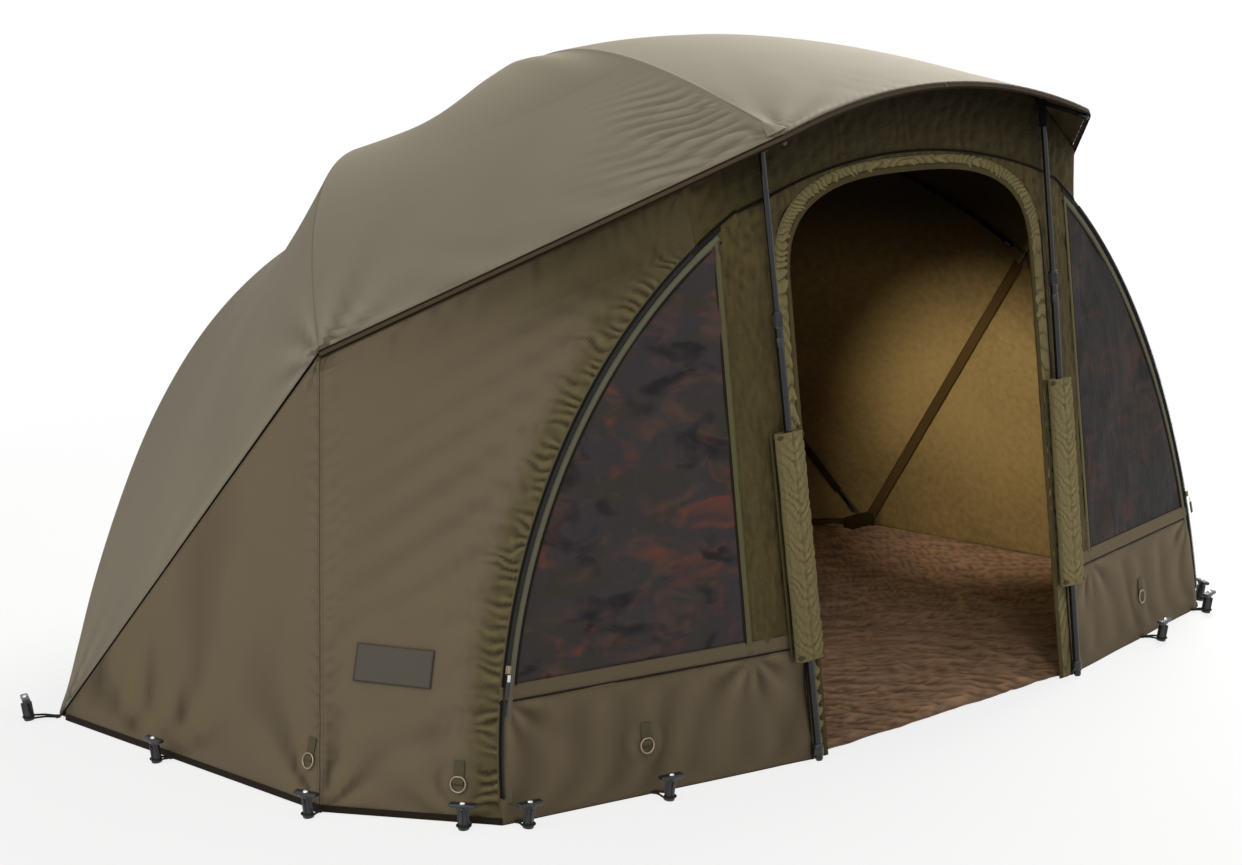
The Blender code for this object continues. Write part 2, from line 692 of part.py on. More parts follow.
def make_front():
    """Front infill with its door and window openings, and the two mesh windows."""
    outlines = [infill_outline()] + [window_outline(side, 0.0) for _, side in SIDES]
    bm = lay_on_front(outline_mesh("front_infill", outlines, CLOTH))
    add_object("front_infill", finish_mesh(bm, "front_infill"), FINISH["front"])
    for word, side in SIDES:
        name = f"window_{word}"
        bm = lay_on_front(outline_mesh(name, [window_outline(side, SEAT)], MESH_CLOTH))
        add_object(name, finish_mesh(bm, name), FINISH["mesh"])


WALL_ROWS = ZIP_STEPS + 2
WALL_COLUMNS = WALL_AFT_COLUMNS + WALL_FORE_COLUMNS


def wall_edge(w):
    """Front edge of the right wall: up the zip arc, then straight up to the canopy's edge."""
    arc_share = ZIP_STEPS / WALL_ROWS
    radius = ZIP_R + BUTT_GAP
    top = zip_point(ZIP_TOP_ANGLE, radius)
    if w <= arc_share:
        point = zip_point(blend(FRONT_FOOT_ANGLE, ZIP_TOP_ANGLE, w / arc_share), radius)
        point.z = max(point.z, 0.0) if w > 0.0 else 0.0
        return point
    return blend(top, WALL_TOP_FRONT, (w - arc_share) / (1.0 - arc_share))


def rim_crossing():
    """Where the canopy's side edge crosses the front wall's plane."""
    def miss(share):
        point = blend(SIDE_TIP, FRONT_TIP, share)
        return point.y - front_y(point.x, point.z)
    return blend(SIDE_TIP, FRONT_TIP, solve(miss, 0.3, 1.0))


WALL_TOP_FRONT = rim_crossing() - Vector((0.0, 0.0, RIM_GAP))


def wall_point(u, w):
    """Point on the right wall: u from the back corner to the front edge, w from hem to canopy."""
    aft = WALL_AFT_COLUMNS / WALL_COLUMNS
    foot_back, foot_seam = REAR_TIP, SIDE_FOOT
    top_seam = SIDE_TIP - Vector((0.0, 0.0, RIM_GAP))
    if u <= aft:
        share = blend(WALL_REAR_SHARE, 1.0, u / aft)
        low = blend(foot_back, foot_seam, share)
        high = blend(foot_back, top_seam, share)
        into = (low - high).normalized()
        return blend(low, high + into * BUTT_GAP * 0.75, w)
    share = (u - aft) / (1.0 - aft)
    edge_foot = wall_edge(0.0)
    low = blend(foot_seam, edge_foot, share)
    high = blend(top_seam, WALL_TOP_FRONT, share)
    bulge = wall_edge(w) - blend(edge_foot, WALL_TOP_FRONT, w)
    return blend(low, high, w) + bulge * share ** 1.5


def make_walls():
    """Two side walls."""
    for word, side in SIDES:
        sheet(f"wall_{word}", WALL_COLUMNS, WALL_ROWS,
              lambda u, w, side=side: mirrored(wall_point(u, w), side), FINISH["wall"])


def hem_line():
    """Right half of the outline on the ground, from the door to the back middle."""
    front = [Vector((DOOR_HALF, front_y(DOOR_HALF, 0.0), 0.0)), Vector((WING_X, FRONT_Y, 0.0))]
    back = [roof_panel(1.0, 3.0 + i / 6.0) for i in range(7)]
    return front + [FRONT_FOOT, SIDE_FOOT] + back


def make_groundsheet():
    """Groundsheet inside the hem, out to the door's edge between the jambs."""
    outline = []
    for point in hem_line():
        pull = -point.normalized() * SHEET_INSET
        outline.append((point.x + pull.x, point.y + pull.y))
    outline[0] = (outline[0][0], FRONT_Y)
    whole = outline + [(-x, y) for x, y in reversed(outline[:-1])]
    bm = outline_mesh("groundsheet", [whole], SHEET_THICK)
    bmesh.ops.rotate(bm, verts=bm.verts, matrix=Matrix.Rotation(-pi / 2.0, 3, "X"))
    bmesh.ops.translate(bm, verts=bm.verts, vec=(0.0, 0.0, SHEET_THICK / 2.0))
    add_object("groundsheet", finish_mesh(bm, "groundsheet"), FINISH["ground"])


# Zips

def zip_frame(angle, side, proud, radius=ZIP_R - TRACK_INSET):
    """Frame at the zip with Z up along it and X proud of the cloth."""
    point = mirrored(zip_point(angle, radius, proud), side)
    ahead = mirrored(zip_point(angle + 0.001, radius, proud), side)
    return frame_at(point, ahead - point, mirrored(WING_FACE, side))


def make_zips():
    """Zip track along each arc with its slider and puller."""
    track_proud = CLOTH / 2.0 + SEAT + TRACK_R
    slider_proud = track_proud + TRACK_R + SEAT + SLIDER_THICK / 2.0
    start, end = FRONT_FOOT_ANGLE + TRACK_LOW_GAP, ZIP_TOP_ANGLE - TRACK_HIGH_GAP
    angles = [blend(start, end, i / TRACK_STEPS) for i in range(TRACK_STEPS + 1)]
    for word, side in SIDES:
        points = [mirrored(zip_point(angle, ZIP_R - TRACK_INSET, track_proud), side) for angle in angles]
        wire(f"zip_track_{word}", points, TRACK_R, FINISH["zip"], 1)
        place = zip_frame(FRONT_FOOT_ANGLE + SLIDER_UP, side, slider_proud)
        size = Vector((SLIDER_THICK, SLIDER_WIDE, SLIDER_LONG))
        slider = add_object(f"zip_slider_{word}", box_mesh("slider", size), FINISH["bright"], place)
        bevel = slider.modifiers.new("edges", "BEVEL")
        bevel.width = SLIDER_EDGE
        bevel.segments = 2
        pivot = place @ Matrix.Translation((SLIDER_THICK / 2.0 + PULLER_PROUD, 0.0,
                                            -SLIDER_LONG / 2.0 - PULLER_DROP))
        size = Vector((PULLER_THICK, PULLER_WIDE, PULLER_LONG))
        middle = Vector((0.0, 0.0, PULLER_THICK / 2.0 - PULLER_LONG / 2.0))
        add_object(f"zip_puller_{word}", box_mesh("puller", size, middle), FINISH["zip"], pivot)


# Storm poles

def pole_share():
    """Place along the front rib where a pole clears the front wall."""
    def miss(share):
        point = RIBS["front"].centre(share)
        return point.y - front_y(point.x, point.z) + POLE_STAND_OFF
    return solve(miss, 0.80, 1.0)


def pole_line(side):
    """Swivel point of a pole beside the front rib, and its foot."""
    rib = RIBS["front"]
    offset = RIB_R + SEAT + SWIVEL_THICK / 2.0
    head = mirrored(rib.centre(pole_share()), side) - sideways(rib, side) * offset
    foot = Vector((POLE_FOOT_X * side, FRONT_Y - POLE_STAND_OFF, POLE_FOOT_LIFT))
    return head, foot


def bored_tube(name, place, length, radius, bore, bore_from, finish):
    """Round tube standing on a closed foot, bored from above."""
    profile = [(bore, length), (radius, length), (radius, FOOT_EDGE_H), (radius - FOOT_EDGE_W, 0.0),
               (0.0, 0.0)]
    inner = [(0.0, bore_from), (bore, bore_from), (bore, length)]
    return turned(name, inner + profile[1:], finish, place, 20)


def make_poles():
    """Each pole: swivel and upper tube, lower tube with its foot, twist collar and cloth sleeve."""
    for word, side in SIDES:
        head, foot = pole_line(side)
        along = (head - foot).normalized()
        rib = RIBS["front"]
        plate_turn = sideways(rib, side)
        swivel = frame_at(head, along - plate_turn * along.dot(plate_turn), plate_turn)
        size = Vector((SWIVEL_THICK, SWIVEL_WIDTH, SWIVEL_DROP + SWIVEL_WIDTH / 2.0))
        middle = Vector((0.0, 0.0, SWIVEL_WIDTH / 2.0 - size.z / 2.0))
        upper = add_object(f"pole_upper_{word}", box_mesh("swivel", size, middle), FINISH["frame"], swivel)
        low = (head - foot).length - POLE_JOIN + POLE_OVERLAP
        bm = bmesh.new()
        depth = low - SWIVEL_DROP + SWIVEL_BITE
        bmesh.ops.create_cone(bm, cap_ends=True, segments=16, radius1=UPPER_R, radius2=UPPER_R,
                              depth=depth, matrix=Matrix.Translation((0.0, 0.0, -low + depth / 2.0)))
        tube = make_cutter(f"upper_tube_{word}", finish_mesh(bm, "upper_tube"),
                           frame_at(head, along, plate_turn))
        boolean(upper, tube, "UNION")
        stand = frame_at(foot, along, plate_turn)
        bored_tube(f"pole_lower_{word}", stand, POLE_JOIN - SEAT, LOWER_R, LOWER_BORE,
                   POLE_JOIN - BORE_DEPTH, FINISH["frame"])
        ring = [(LOWER_BORE, COLLAR_H), (COLLAR_R * 0.9, COLLAR_H), (COLLAR_R, COLLAR_H * 0.8),
                (COLLAR_R, COLLAR_H * 0.2), (COLLAR_R * 0.9, 0.0), (LOWER_BORE, 0.0),
                (LOWER_BORE, COLLAR_H)]
        turned(f"pole_collar_{word}", ring, FINISH["plastic"],
               frame_at(foot + along * POLE_JOIN, along, plate_turn), 20)
        make_sleeve(word, side, foot, along)


def make_sleeve(word, side, foot, along):
    """Cloth sleeve between the pole and the door jamb."""
    facing = Vector((0.0, -1.0, FRONT_LEAN)).normalized()
    low, high = SLEEVE_LOW, SLEEVE_HIGH
    place = frame_at(foot + along * low, along, facing)
    size = Vector((SLEEVE_DEPTH, SLEEVE_WIDTH, high - low))
    sleeve = add_object(f"pole_sleeve_{word}", box_mesh("sleeve", size, Vector((0.0, 0.0, size.z / 2.0))),
                        FINISH["front"], place)
    bevel = sleeve.modifiers.new("edges", "BEVEL")
    bevel.width = SLEEVE_EDGE
    bevel.segments = 2
    bm = bmesh.new()
    bmesh.ops.create_cone(bm, cap_ends=True, segments=16, radius1=SLEEVE_BORE, radius2=SLEEVE_BORE,
                          depth=size.z * 1.2, matrix=Matrix.Translation((0.0, 0.0, size.z / 2.0)))
    boolean(sleeve, make_cutter(f"sleeve_bore_{word}", finish_mesh(bm, "sleeve_bore"), place))


# Fittings on the cloth

def seat_frame(tree, near, outward, proud):
    """Frame on a cloth's face nearest a point: X out of the cloth and Z up along it."""
    point, normal, _, _ = tree.find_nearest(near + outward * PROBE)
    if normal.dot(outward) < 0.0:
        normal = -normal
    up = Vector((0.0, 0.0, 1.0)) - normal * normal.z
    return frame_at(point + normal * proud, up, normal)


def make_ring_tab(name, tree, near, outward):
    """Webbing tab with a D-ring in its lower end, clear of the cloth's highest point under it."""
    rest = seat_frame(tree, near, outward, 0.0)
    inward = -(rest.to_3x3() @ Vector((1.0, 0.0, 0.0)))
    heights = []
    for across in (-0.5, 0.0, 0.5):
        for up in (-RING_HANG - RING_R, 0.0, TAB_HIGH):
            distance = tree.ray_cast(rest @ Vector((PROBE, TAB_WIDE * across, up)), inward)[3]
            heights.append(PROBE - (distance if distance else PROBE))
    thick = TAB_THICK + 2.0 * RING_WIRE
    place = rest @ Matrix.Translation((max(heights) + SEAT + thick / 2.0, 0.0, 0.0))
    size = Vector((thick, TAB_WIDE, TAB_HIGH))
    tab = add_object(name, box_mesh("tab", size, Vector((0.0, 0.0, TAB_HIGH / 2.0))), FINISH["front"], place)
    turn = place @ Matrix.Translation((0.0, 0.0, -RING_HANG)) @ Matrix.Rotation(pi / 2.0, 4, "Y")
    ring = make_cutter(f"{name}_ring", ring_mesh(), turn)
    boolean(tab, ring, "UNION")


def ring_mesh():
    """Round wire ring in the XY plane."""
    steps, sides = 20, 6
    bm = bmesh.new()
    start = [bm.verts.new((RING_R + RING_WIRE * cos(2.0 * pi * i / sides), 0.0,
                           RING_WIRE * sin(2.0 * pi * i / sides))) for i in range(sides)]
    edges = [bm.edges.new((start[i], start[(i + 1) % sides])) for i in range(sides)]
    bmesh.ops.spin(bm, geom=start + edges, cent=(0.0, 0.0, 0.0), axis=(0.0, 0.0, 1.0),
                   angle=2.0 * pi, steps=steps, use_merge=True)
    bmesh.ops.remove_doubles(bm, verts=bm.verts, dist=0.00005)
    return finish_mesh(bm, "ring")


def cloth_tree(made):
    """Search tree of an object's evaluated faces in world space."""
    bpy.context.view_layer.update()
    graph = bpy.context.evaluated_depsgraph_get()
    bm = bmesh.new()
    bm.from_object(made, graph)
    bm.transform(made.matrix_world)
    return BVHTree.FromBMesh(bm)


def hem_away():
    """Direction away from the right wall between the side seam and the front corner."""
    return (SIDE_FOOT - FRONT_FOOT).cross(Vector((0.0, 0.0, 1.0))).normalized()


def make_label(tree):
    """Bare patch sewn on the left wall, laid on the wall's curve."""
    centre = seat_frame(tree, mirrored(wall_point(*LABEL_AT), -1.0), mirrored(hem_away(), -1.0), 0.0)
    proud = SEAT * 2.0 + LABEL_THICK / 2.0

    def place(u, w):
        flat = centre @ Vector((PROBE, (u - 0.5) * LABEL_LONG, (w - 0.5) * LABEL_HIGH))
        inward = -(centre.to_3x3() @ Vector((1.0, 0.0, 0.0)))
        hit = tree.ray_cast(flat, inward)[0]
        return hit - inward * proud

    sheet("label_patch", 6, 3, place, FINISH["label"], LABEL_THICK)


def make_tabs(trees):
    """D-ring tabs on the walls and the front infill."""
    for word, side in SIDES:
        for kind, spot in (("side", SIDE_TAB_AT), ("corner", CORNER_TAB_AT)):
            make_ring_tab(f"ring_tab_{kind}_{word}", trees[word], mirrored(wall_point(*spot), side),
                          mirrored(hem_away(), side))
        spot = front_point(ZIP_FOOT_X - FRONT_TAB_IN, FRONT_TAB_LIFT)
        make_ring_tab(f"ring_tab_front_{word}", trees["front"], mirrored(spot, side),
                      mirrored(WING_FACE, side))


def make_peg(name, tree, hem, away, distance):
    """Ground peg above the ground: stem, handle bar and the elastic loop from the hem's cloth."""
    base = hem + away * distance
    base.z = sin(PEG_LEAN) * PEG_STEM_FOOT + SEAT
    lean = (Vector((0.0, 0.0, 1.0)) + away * (sin(PEG_LEAN) / cos(PEG_LEAN))).normalized()
    place = frame_at(base, lean, away)
    bm = bmesh.new()
    bmesh.ops.create_cone(bm, cap_ends=True, segments=12, radius1=PEG_STEM_FOOT, radius2=PEG_STEM_TOP,
                          depth=PEG_HIGH, matrix=Matrix.Translation((0.0, 0.0, PEG_HIGH / 2.0)))
    peg = add_object(name, finish_mesh(bm, name), FINISH["plastic"], place)
    bm = bmesh.new()
    bmesh.ops.create_cone(bm, cap_ends=True, segments=16, radius1=0.5, radius2=0.5, depth=1.0,
                          matrix=Matrix.Diagonal((PEG_BAR_WIDE, PEG_BAR_LONG, PEG_BAR_THICK, 1.0)))
    bmesh.ops.translate(bm, verts=bm.verts, vec=(0.0, 0.0, PEG_HIGH))
    boolean(peg, make_cutter(f"{name}_bar", finish_mesh(bm, "bar"), place), "UNION")
    end = base + Vector((0.0, 0.0, LOOP_LIFT))
    toward = tree.find_nearest(end)[0] - end
    toward.z = 0.0
    toward.normalize()
    cloth, normal, _, _ = tree.ray_cast(end, toward)
    slope = abs(normal.z / normal.dot(toward))
    start = cloth - toward * (SEAT * 1.5 + LOOP_R * slope)
    bm = bmesh.new()
    length = (end - start).length
    bmesh.ops.create_cone(bm, cap_ends=True, segments=7, radius1=LOOP_R, radius2=LOOP_R, depth=length,
                          matrix=Matrix.Translation((0.0, 0.0, length / 2.0)))
    loop = make_cutter(f"{name}_loop", finish_mesh(bm, "loop"), frame_at(start, end - start))
    boolean(peg, loop, "UNION")


def make_pegs(trees):
    """Pegs round the hem: each starts at a hem point and stands away from the cloth."""
    front_out = Vector((WING_RAKE, -1.0, 0.0)).normalized()
    back_out = Vector((0.0, 1.0, 0.0))
    side_out = (REAR_TIP - SIDE_FOOT).cross(Vector((0.0, 0.0, 1.0))).normalized()
    corner_out = hem_away()
    wing_foot = Vector((WING_X, FRONT_Y, 0.0))
    for word, side in SIDES:
        wall, roof, front = trees[word], trees["roof"], trees["front"]
        spots = {
            "rear": (roof, REAR_TIP, side_out + back_out * 0.5, PEG_REAR_OFF),
            "side": (wall, blend(REAR_TIP, SIDE_FOOT, PEG_SIDE_SHARE), side_out, PEG_SIDE_OFF),
            "seam": (wall, SIDE_FOOT, side_out + corner_out, PEG_SIDE_OFF),
            "wall": (wall, blend(SIDE_FOOT, FRONT_FOOT, PEG_WALL_SHARE), corner_out, PEG_SIDE_OFF),
            "corner": (front, blend(FRONT_FOOT, wing_foot, PEG_CORNER_SHARE), front_out, PEG_SIDE_OFF),
            "front": (front, blend(FRONT_FOOT, wing_foot, PEG_FRONT_SHARE), front_out, PEG_FRONT_OFF),
        }
        for kind, (tree, hem, away, distance) in spots.items():
            make_peg(f"peg_{kind}_{word}", tree, mirrored(hem, side), mirrored(away.normalized(), side),
                     distance)
    make_peg("peg_back", trees["roof"], REAR_FOOT.copy(), back_out, PEG_BACK_OFF)


def main():
    """Build every piece of the shelter."""
    make_hub()
    make_tube_and_runner()
    make_ribs()
    canopy = make_canopy()
    make_header(cloth_tree(canopy))
    make_front()
    make_walls()
    make_groundsheet()
    make_zips()
    make_poles()
    trees = {
        "roof": cloth_tree(canopy),
        "front": cloth_tree(bpy.data.objects["front_infill"]),
        "left": cloth_tree(bpy.data.objects["wall_left"]),
        "right": cloth_tree(bpy.data.objects["wall_right"]),
    }
    make_label(trees["left"])
    make_tabs(trees)
    make_pegs(trees)
    for made in PARTS.objects:
        if made.type == "MESH":
            made.data.shade_smooth()
            made.data.set_sharp_from_angle(angle=radians(35.0))


main()
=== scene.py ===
"""Fishing brolly shelter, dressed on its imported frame.

Metres, +Z up, the front faces -Y. Shapes off the middle are worked out for the right side (+X)
and side = -1 mirrors them to the left.
"""
import json
import logging
from dataclasses import dataclass, field
from enum import Enum
from functools import cache
from math import atan2, copysign, cos, exp, pi, radians, sin
from typing import Callable, Optional, Sequence, TypeVar, Union

import bmesh
import bpy
from mathutils import Euler, Matrix, Vector, kdtree, noise

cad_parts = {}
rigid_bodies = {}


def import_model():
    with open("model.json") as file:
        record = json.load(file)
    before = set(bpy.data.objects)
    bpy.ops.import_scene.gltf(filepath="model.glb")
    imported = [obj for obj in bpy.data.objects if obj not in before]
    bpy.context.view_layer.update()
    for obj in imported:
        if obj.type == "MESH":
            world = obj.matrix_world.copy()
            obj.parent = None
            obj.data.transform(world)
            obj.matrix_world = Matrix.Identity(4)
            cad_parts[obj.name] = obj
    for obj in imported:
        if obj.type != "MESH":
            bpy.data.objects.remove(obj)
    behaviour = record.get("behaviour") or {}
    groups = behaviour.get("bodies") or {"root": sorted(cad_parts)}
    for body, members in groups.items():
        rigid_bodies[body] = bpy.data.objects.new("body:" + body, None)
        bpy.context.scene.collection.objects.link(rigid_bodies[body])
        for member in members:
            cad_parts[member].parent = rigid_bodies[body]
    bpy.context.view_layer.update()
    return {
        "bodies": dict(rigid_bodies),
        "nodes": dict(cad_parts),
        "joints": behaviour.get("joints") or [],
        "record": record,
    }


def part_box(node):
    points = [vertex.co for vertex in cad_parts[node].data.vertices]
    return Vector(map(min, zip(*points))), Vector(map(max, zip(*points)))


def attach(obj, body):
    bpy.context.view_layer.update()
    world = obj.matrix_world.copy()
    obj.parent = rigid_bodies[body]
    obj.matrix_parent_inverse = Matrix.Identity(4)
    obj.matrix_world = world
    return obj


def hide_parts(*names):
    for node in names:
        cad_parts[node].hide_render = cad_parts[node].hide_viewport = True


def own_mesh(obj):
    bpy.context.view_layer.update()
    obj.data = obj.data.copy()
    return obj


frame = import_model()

LOG = logging.getLogger("brolly")
Colour = tuple[float, float, float]
Place = Callable[[float, float], Vector]
Piece, Mesh = bpy.types.Object, bmesh.types.BMesh
Material, Socket = bpy.types.Material, bpy.types.NodeSocket
Rule = Callable[[float, float, Vector], float]
Blend = TypeVar("Blend", float, Vector)
TURN = 2.0 * pi
UP = Vector((0.0, 0.0, 1.0))
# The cloth keeps this far above the ground
LOWEST = 0.0008
SIDES = (("left", -1.0), ("right", 1.0))
# Rise over the plain cloth, and over the nearest points, at which a fold gets the full painted highlight on
# its crest, or the full painted shade in its hollow
FOLD_HEIGHT, FOLD_EDGE = 0.022, 0.0010
# Column and row on the side wall of its tabs and its label, and the place of the front tab
TAB_SPOTS, LABEL_SPOT = ((0.440, 0.115), (0.875, 0.065)), (0.655, 0.275)
FRONT_TAB_X, FRONT_TAB_Z = 0.808, 0.100
# Shade on the side walls right under the roof's edge
RIM_SHADE = 0.85
# The zip edge of the side wall: its measuring steps, its length and where its gathers end
ZIP_STEPS, ZIP_LENGTH, ZIP_END = 1200, 1.26, 0.905


def mirrored(point: Vector, side: float) -> Vector:
    """Put a right-hand point on the side asked for."""
    return Vector((point.x * side, point.y, point.z))


def mix(low: Blend, high: Blend, share: float) -> Blend:
    """Mix two numbers or vectors."""
    return low * (1.0 - share) + high * share


def smooth(low: float, high: float, value: float) -> float:
    """Smooth step from 0 at low to 1 at high."""
    share = min(max((value - low) / (high - low), 0.0), 1.0)
    return share * share * (3.0 - 2.0 * share)


def solve(miss: Callable[[float], float], low: float, high: float) -> float:
    """Find where a function of one value crosses zero.

    Args:
        miss: The function.
        low: One end of the range.
        high: The other end.

    Returns:
        The value at the crossing.
    """
    sign = miss(low) > 0.0
    for _ in range(40):
        middle = 0.5 * (low + high)
        if (miss(middle) > 0.0) == sign:
            low = middle
        else:
            high = middle
    return 0.5 * (low + high)


def ripple(x: float, y: float, z: float = 0.0) -> float:
    """Smooth noise between about -1 and 1."""
    return noise.noise(Vector((x, y, z)))


class Mark(Enum):
    """Float attributes that the cloth shaders read."""

    SEAM = "seam"
    RUN = "run"
    PUCKER = "pucker"
    CREASE = "crease"
    # shade: painted shade, and the dark edge lines of tapes and borders
    SHADE = "shade"
    # crest: fold height, painted as shade in hollows and highlight on crests
    CREST = "crest"


# Pitched shape

TILT = radians(32.0)
AXIS = Vector((0.0, sin(TILT), cos(TILT)))
HUB = Vector((0.0, 0.650, 1.000))


class RoofLine:
    """One bowed seam of the roof from the hub to the edge."""

    def __init__(self, tip: Sequence[float], bow: float, skew: float) -> None:
        """Keep the seam's tip, its bow and how far the bow leans to one end."""
        self.tip = Vector(tip)
        self.bow = bow
        self.skew = skew
        chord = (self.tip - HUB).normalized()
        self.up = (AXIS - chord * AXIS.dot(chord)).normalized()

    def cloth(self, share: float) -> Vector:
        """Point on the cloth, share 0 at the hub and 1 at the edge."""
        rise = 4.0 * share * (1.0 - share) * (1.0 + self.skew * (2.0 * share - 1.0)) * self.bow
        return mix(HUB, self.tip, share) + self.up * rise


@dataclass
class Pitch:
    """Shape of the pitched shelter, from the same sizes as its frame."""

    front: RoofLine = field(default_factory=lambda: RoofLine((0.4867, -0.7568, 1.2106), 0.240, -0.342))
    side: RoofLine = field(default_factory=lambda: RoofLine((1.1098, -0.1520, 0.8064), 0.245, 0.063))
    rear: RoofLine = field(default_factory=lambda: RoofLine((1.2922, 0.4845, 0.0), 0.255, -0.342))
    back: RoofLine = field(default_factory=lambda: RoofLine((0.0, 0.850, 0.0), 0.120, -0.550))
    arch_rise: float = 0.077
    sags: tuple[float, float, float, float] = (0.0, -0.017, -0.030, 0.120)
    front_y: float = -0.800
    front_lean: float = 0.121
    wing_rake: float = 0.196
    wing_x: float = 0.430
    zip_r: float = 1.182
    zip_foot: float = radians(-1.85)
    zip_top: float = radians(55.35)
    side_foot: Vector = field(default_factory=lambda: Vector((1.307, -0.368, 0.0)))
    rim_gap: float = 0.006
    seam_peak: float = 1.147
    seam_join_z: float = 1.060
    seam_join_x: float = 0.508
    door_half: float = 0.385
    door_top: float = 1.110
    door_shoulder: float = 0.200
    door_power: float = 2.8
    window_x: float = 0.552
    window_sill: float = 0.250
    window_margin: float = 0.026

    def __post_init__(self) -> None:
        """Work out the wing's directions and the centre of the zip arc."""
        centre_x, centre_z = -0.034, 0.038
        self.wing_face = Vector((self.wing_rake, -1.0, self.front_lean)).normalized()
        self.wing_across = Vector((1.0, self.wing_rake, 0.0)).normalized()
        self.wing_up = self.wing_face.cross(self.wing_across)
        self.door_face = Vector((0.0, -1.0, self.front_lean)).normalized()
        centre_y = self.front_y + self.front_lean * centre_z + self.wing_rake * (centre_x - self.wing_x)
        self.zip_centre = Vector((centre_x, centre_y, centre_z))
        self.front_foot = self.zip_point(self.zip_foot)
        self.front_foot.z = 0.0
        self.rim_front = self.rim_crossing() - UP * self.rim_gap

    def roof(self, share: float, column: float) -> Vector:
        """Point on the right half of the roof.

        Args:
            share: 0 at the hub and 1 at the edge.
            column: 0 at the front middle, then a whole number at each seam, up to 4 at the back middle.

        Returns:
            The point on the cloth.
        """
        lines = (None, self.front, self.side, self.rear, self.back)
        index = min(int(column), 3)
        across = column - index
        if index == 0:
            edge = self.front.cloth(share)
            rise = self.arch_rise * share ** 2 * (1.0 - across ** 2)
            return Vector((edge.x * across, edge.y, edge.z + rise))
        first, second = lines[index], lines[index + 1]
        swell = sin(pi * share ** 0.8) if index < 3 else share
        out = mix(first.up, second.up, across)
        if index == 3:
            out.z = 0.0
        out.normalize()
        ruled = mix(first.cloth(share), second.cloth(share), across)
        return ruled + out * (self.sags[index] * 4.0 * across * (1.0 - across) * swell)

    def roof_over(self, x: float, y: float) -> Vector:
        """Point of the roof's front part over a place.

        Args:
            x: Distance from the middle.
            y: Place from back to front.

        Returns:
            The point on the cloth.
        """
        def column(share: float) -> float:
            """Column that holds x at this share."""
            edge = self.front.cloth(share).x
            if x <= edge:
                return x / edge
            return solve(lambda c: self.roof(share, c).x - x, 1.0, 2.0)
        share = solve(lambda s: self.roof(s, column(s)).y - y, 0.4, 1.0)
        return self.roof(share, column(share))

    def depth(self, x: float, z: float) -> float:
        """Y of the front wall's plane."""
        return self.front_y + self.front_lean * z + self.wing_rake * max(abs(x) - self.wing_x, 0.0)

    def face(self, x: float) -> Vector:
        """Outward direction of the front wall at a distance from the middle."""
        share = smooth(self.wing_x - 0.03, self.wing_x + 0.03, abs(x))
        outward = mix(self.door_face, self.wing_face, share).normalized()
        return mirrored(outward, copysign(1.0, x))

    def front_point(self, x: float, z: float, proud: float = 0.0) -> Vector:
        """Point on the front wall, or proud of it."""
        return Vector((x, self.depth(x, z), z)) + self.face(x) * proud

    def zip_point(self, angle: float, radius: float = 0.0, proud: float = 0.0) -> Vector:
        """Point on the right zip arc, or on another radius, or proud of the wing."""
        reach = radius or self.zip_r
        flat = self.wing_across * (reach * cos(angle)) + self.wing_up * (reach * sin(angle))
        return self.zip_centre + flat + self.wing_face * proud

    def pole_foot(self, side: float) -> Vector:
        """Foot of a storm pole, just before the front wall."""
        return Vector((0.428 * side, self.front_y - 0.016, 0.0015))

    def zip_angle(self, axis: int, value: float, radius: float = 0.0) -> float:
        """Angle at which an arc of the wing reaches a distance aside (axis 0) or a height (axis 2)."""
        return solve(lambda a: self.zip_point(a, radius)[axis] - value, -0.15, radians(80.0))

    def seam_z(self, x: float) -> float:
        """Height of the seam over the door."""
        rise = self.seam_peak - self.seam_join_z
        radius = (self.seam_join_x ** 2 + rise ** 2) / (2.0 * rise)
        return self.seam_peak - radius + (radius ** 2 - x ** 2) ** 0.5

    def top_z(self, x: float) -> float:
        """Upper edge of the front infill: the seam over the door, then the zip arc."""
        if x < self.seam_join_x:
            return self.seam_z(x)
        angle = solve(lambda a: self.zip_point(a).x - x, self.zip_foot, radians(80.0))
        return self.zip_point(angle).z

    def rim_crossing(self) -> Vector:
        """Where the roof's side edge crosses the front wall's plane."""
        def miss(share: float) -> float:
            """Distance from the plane."""
            point = mix(self.side.tip, self.front.tip, share)
            return point.y - self.depth(point.x, point.z)
        return mix(self.side.tip, self.front.tip, solve(miss, 0.3, 1.0))

    def door(self, turn: float, grow: float = 0.0) -> tuple[float, float]:
        """Point on the right half of the door's arch.

        Args:
            turn: 0 at the top middle and 1 where the arch meets the jamb.
            grow: Distance by which the outline is enlarged.

        Returns:
            The distance from the middle and the height.
        """
        angle = pi / 2.0 * turn
        half, top = self.door_half + grow, self.door_top + grow * 0.62
        shoulder = self.door_shoulder + grow * 0.62
        x = half * sin(angle) ** (2.0 / self.door_power)
        z = top - shoulder + shoulder * max(cos(angle), 0.0) ** (2.0 / self.door_power)
        return x, z

    def wall_edge(self, w: float, gap: float = 0.0) -> Vector:
        """Front edge of the right wall, up the zip arc and then straight to the roof's edge."""
        share = 0.9
        radius = self.zip_r + gap
        if w <= share:
            point = self.zip_point(mix(self.zip_foot, self.zip_top, w / share), radius)
            point.z = max(point.z, 0.0) if w > 0.0 else 0.0
            return point
        return mix(self.zip_point(self.zip_top, radius), self.rim_front, (w - share) / (1.0 - share))

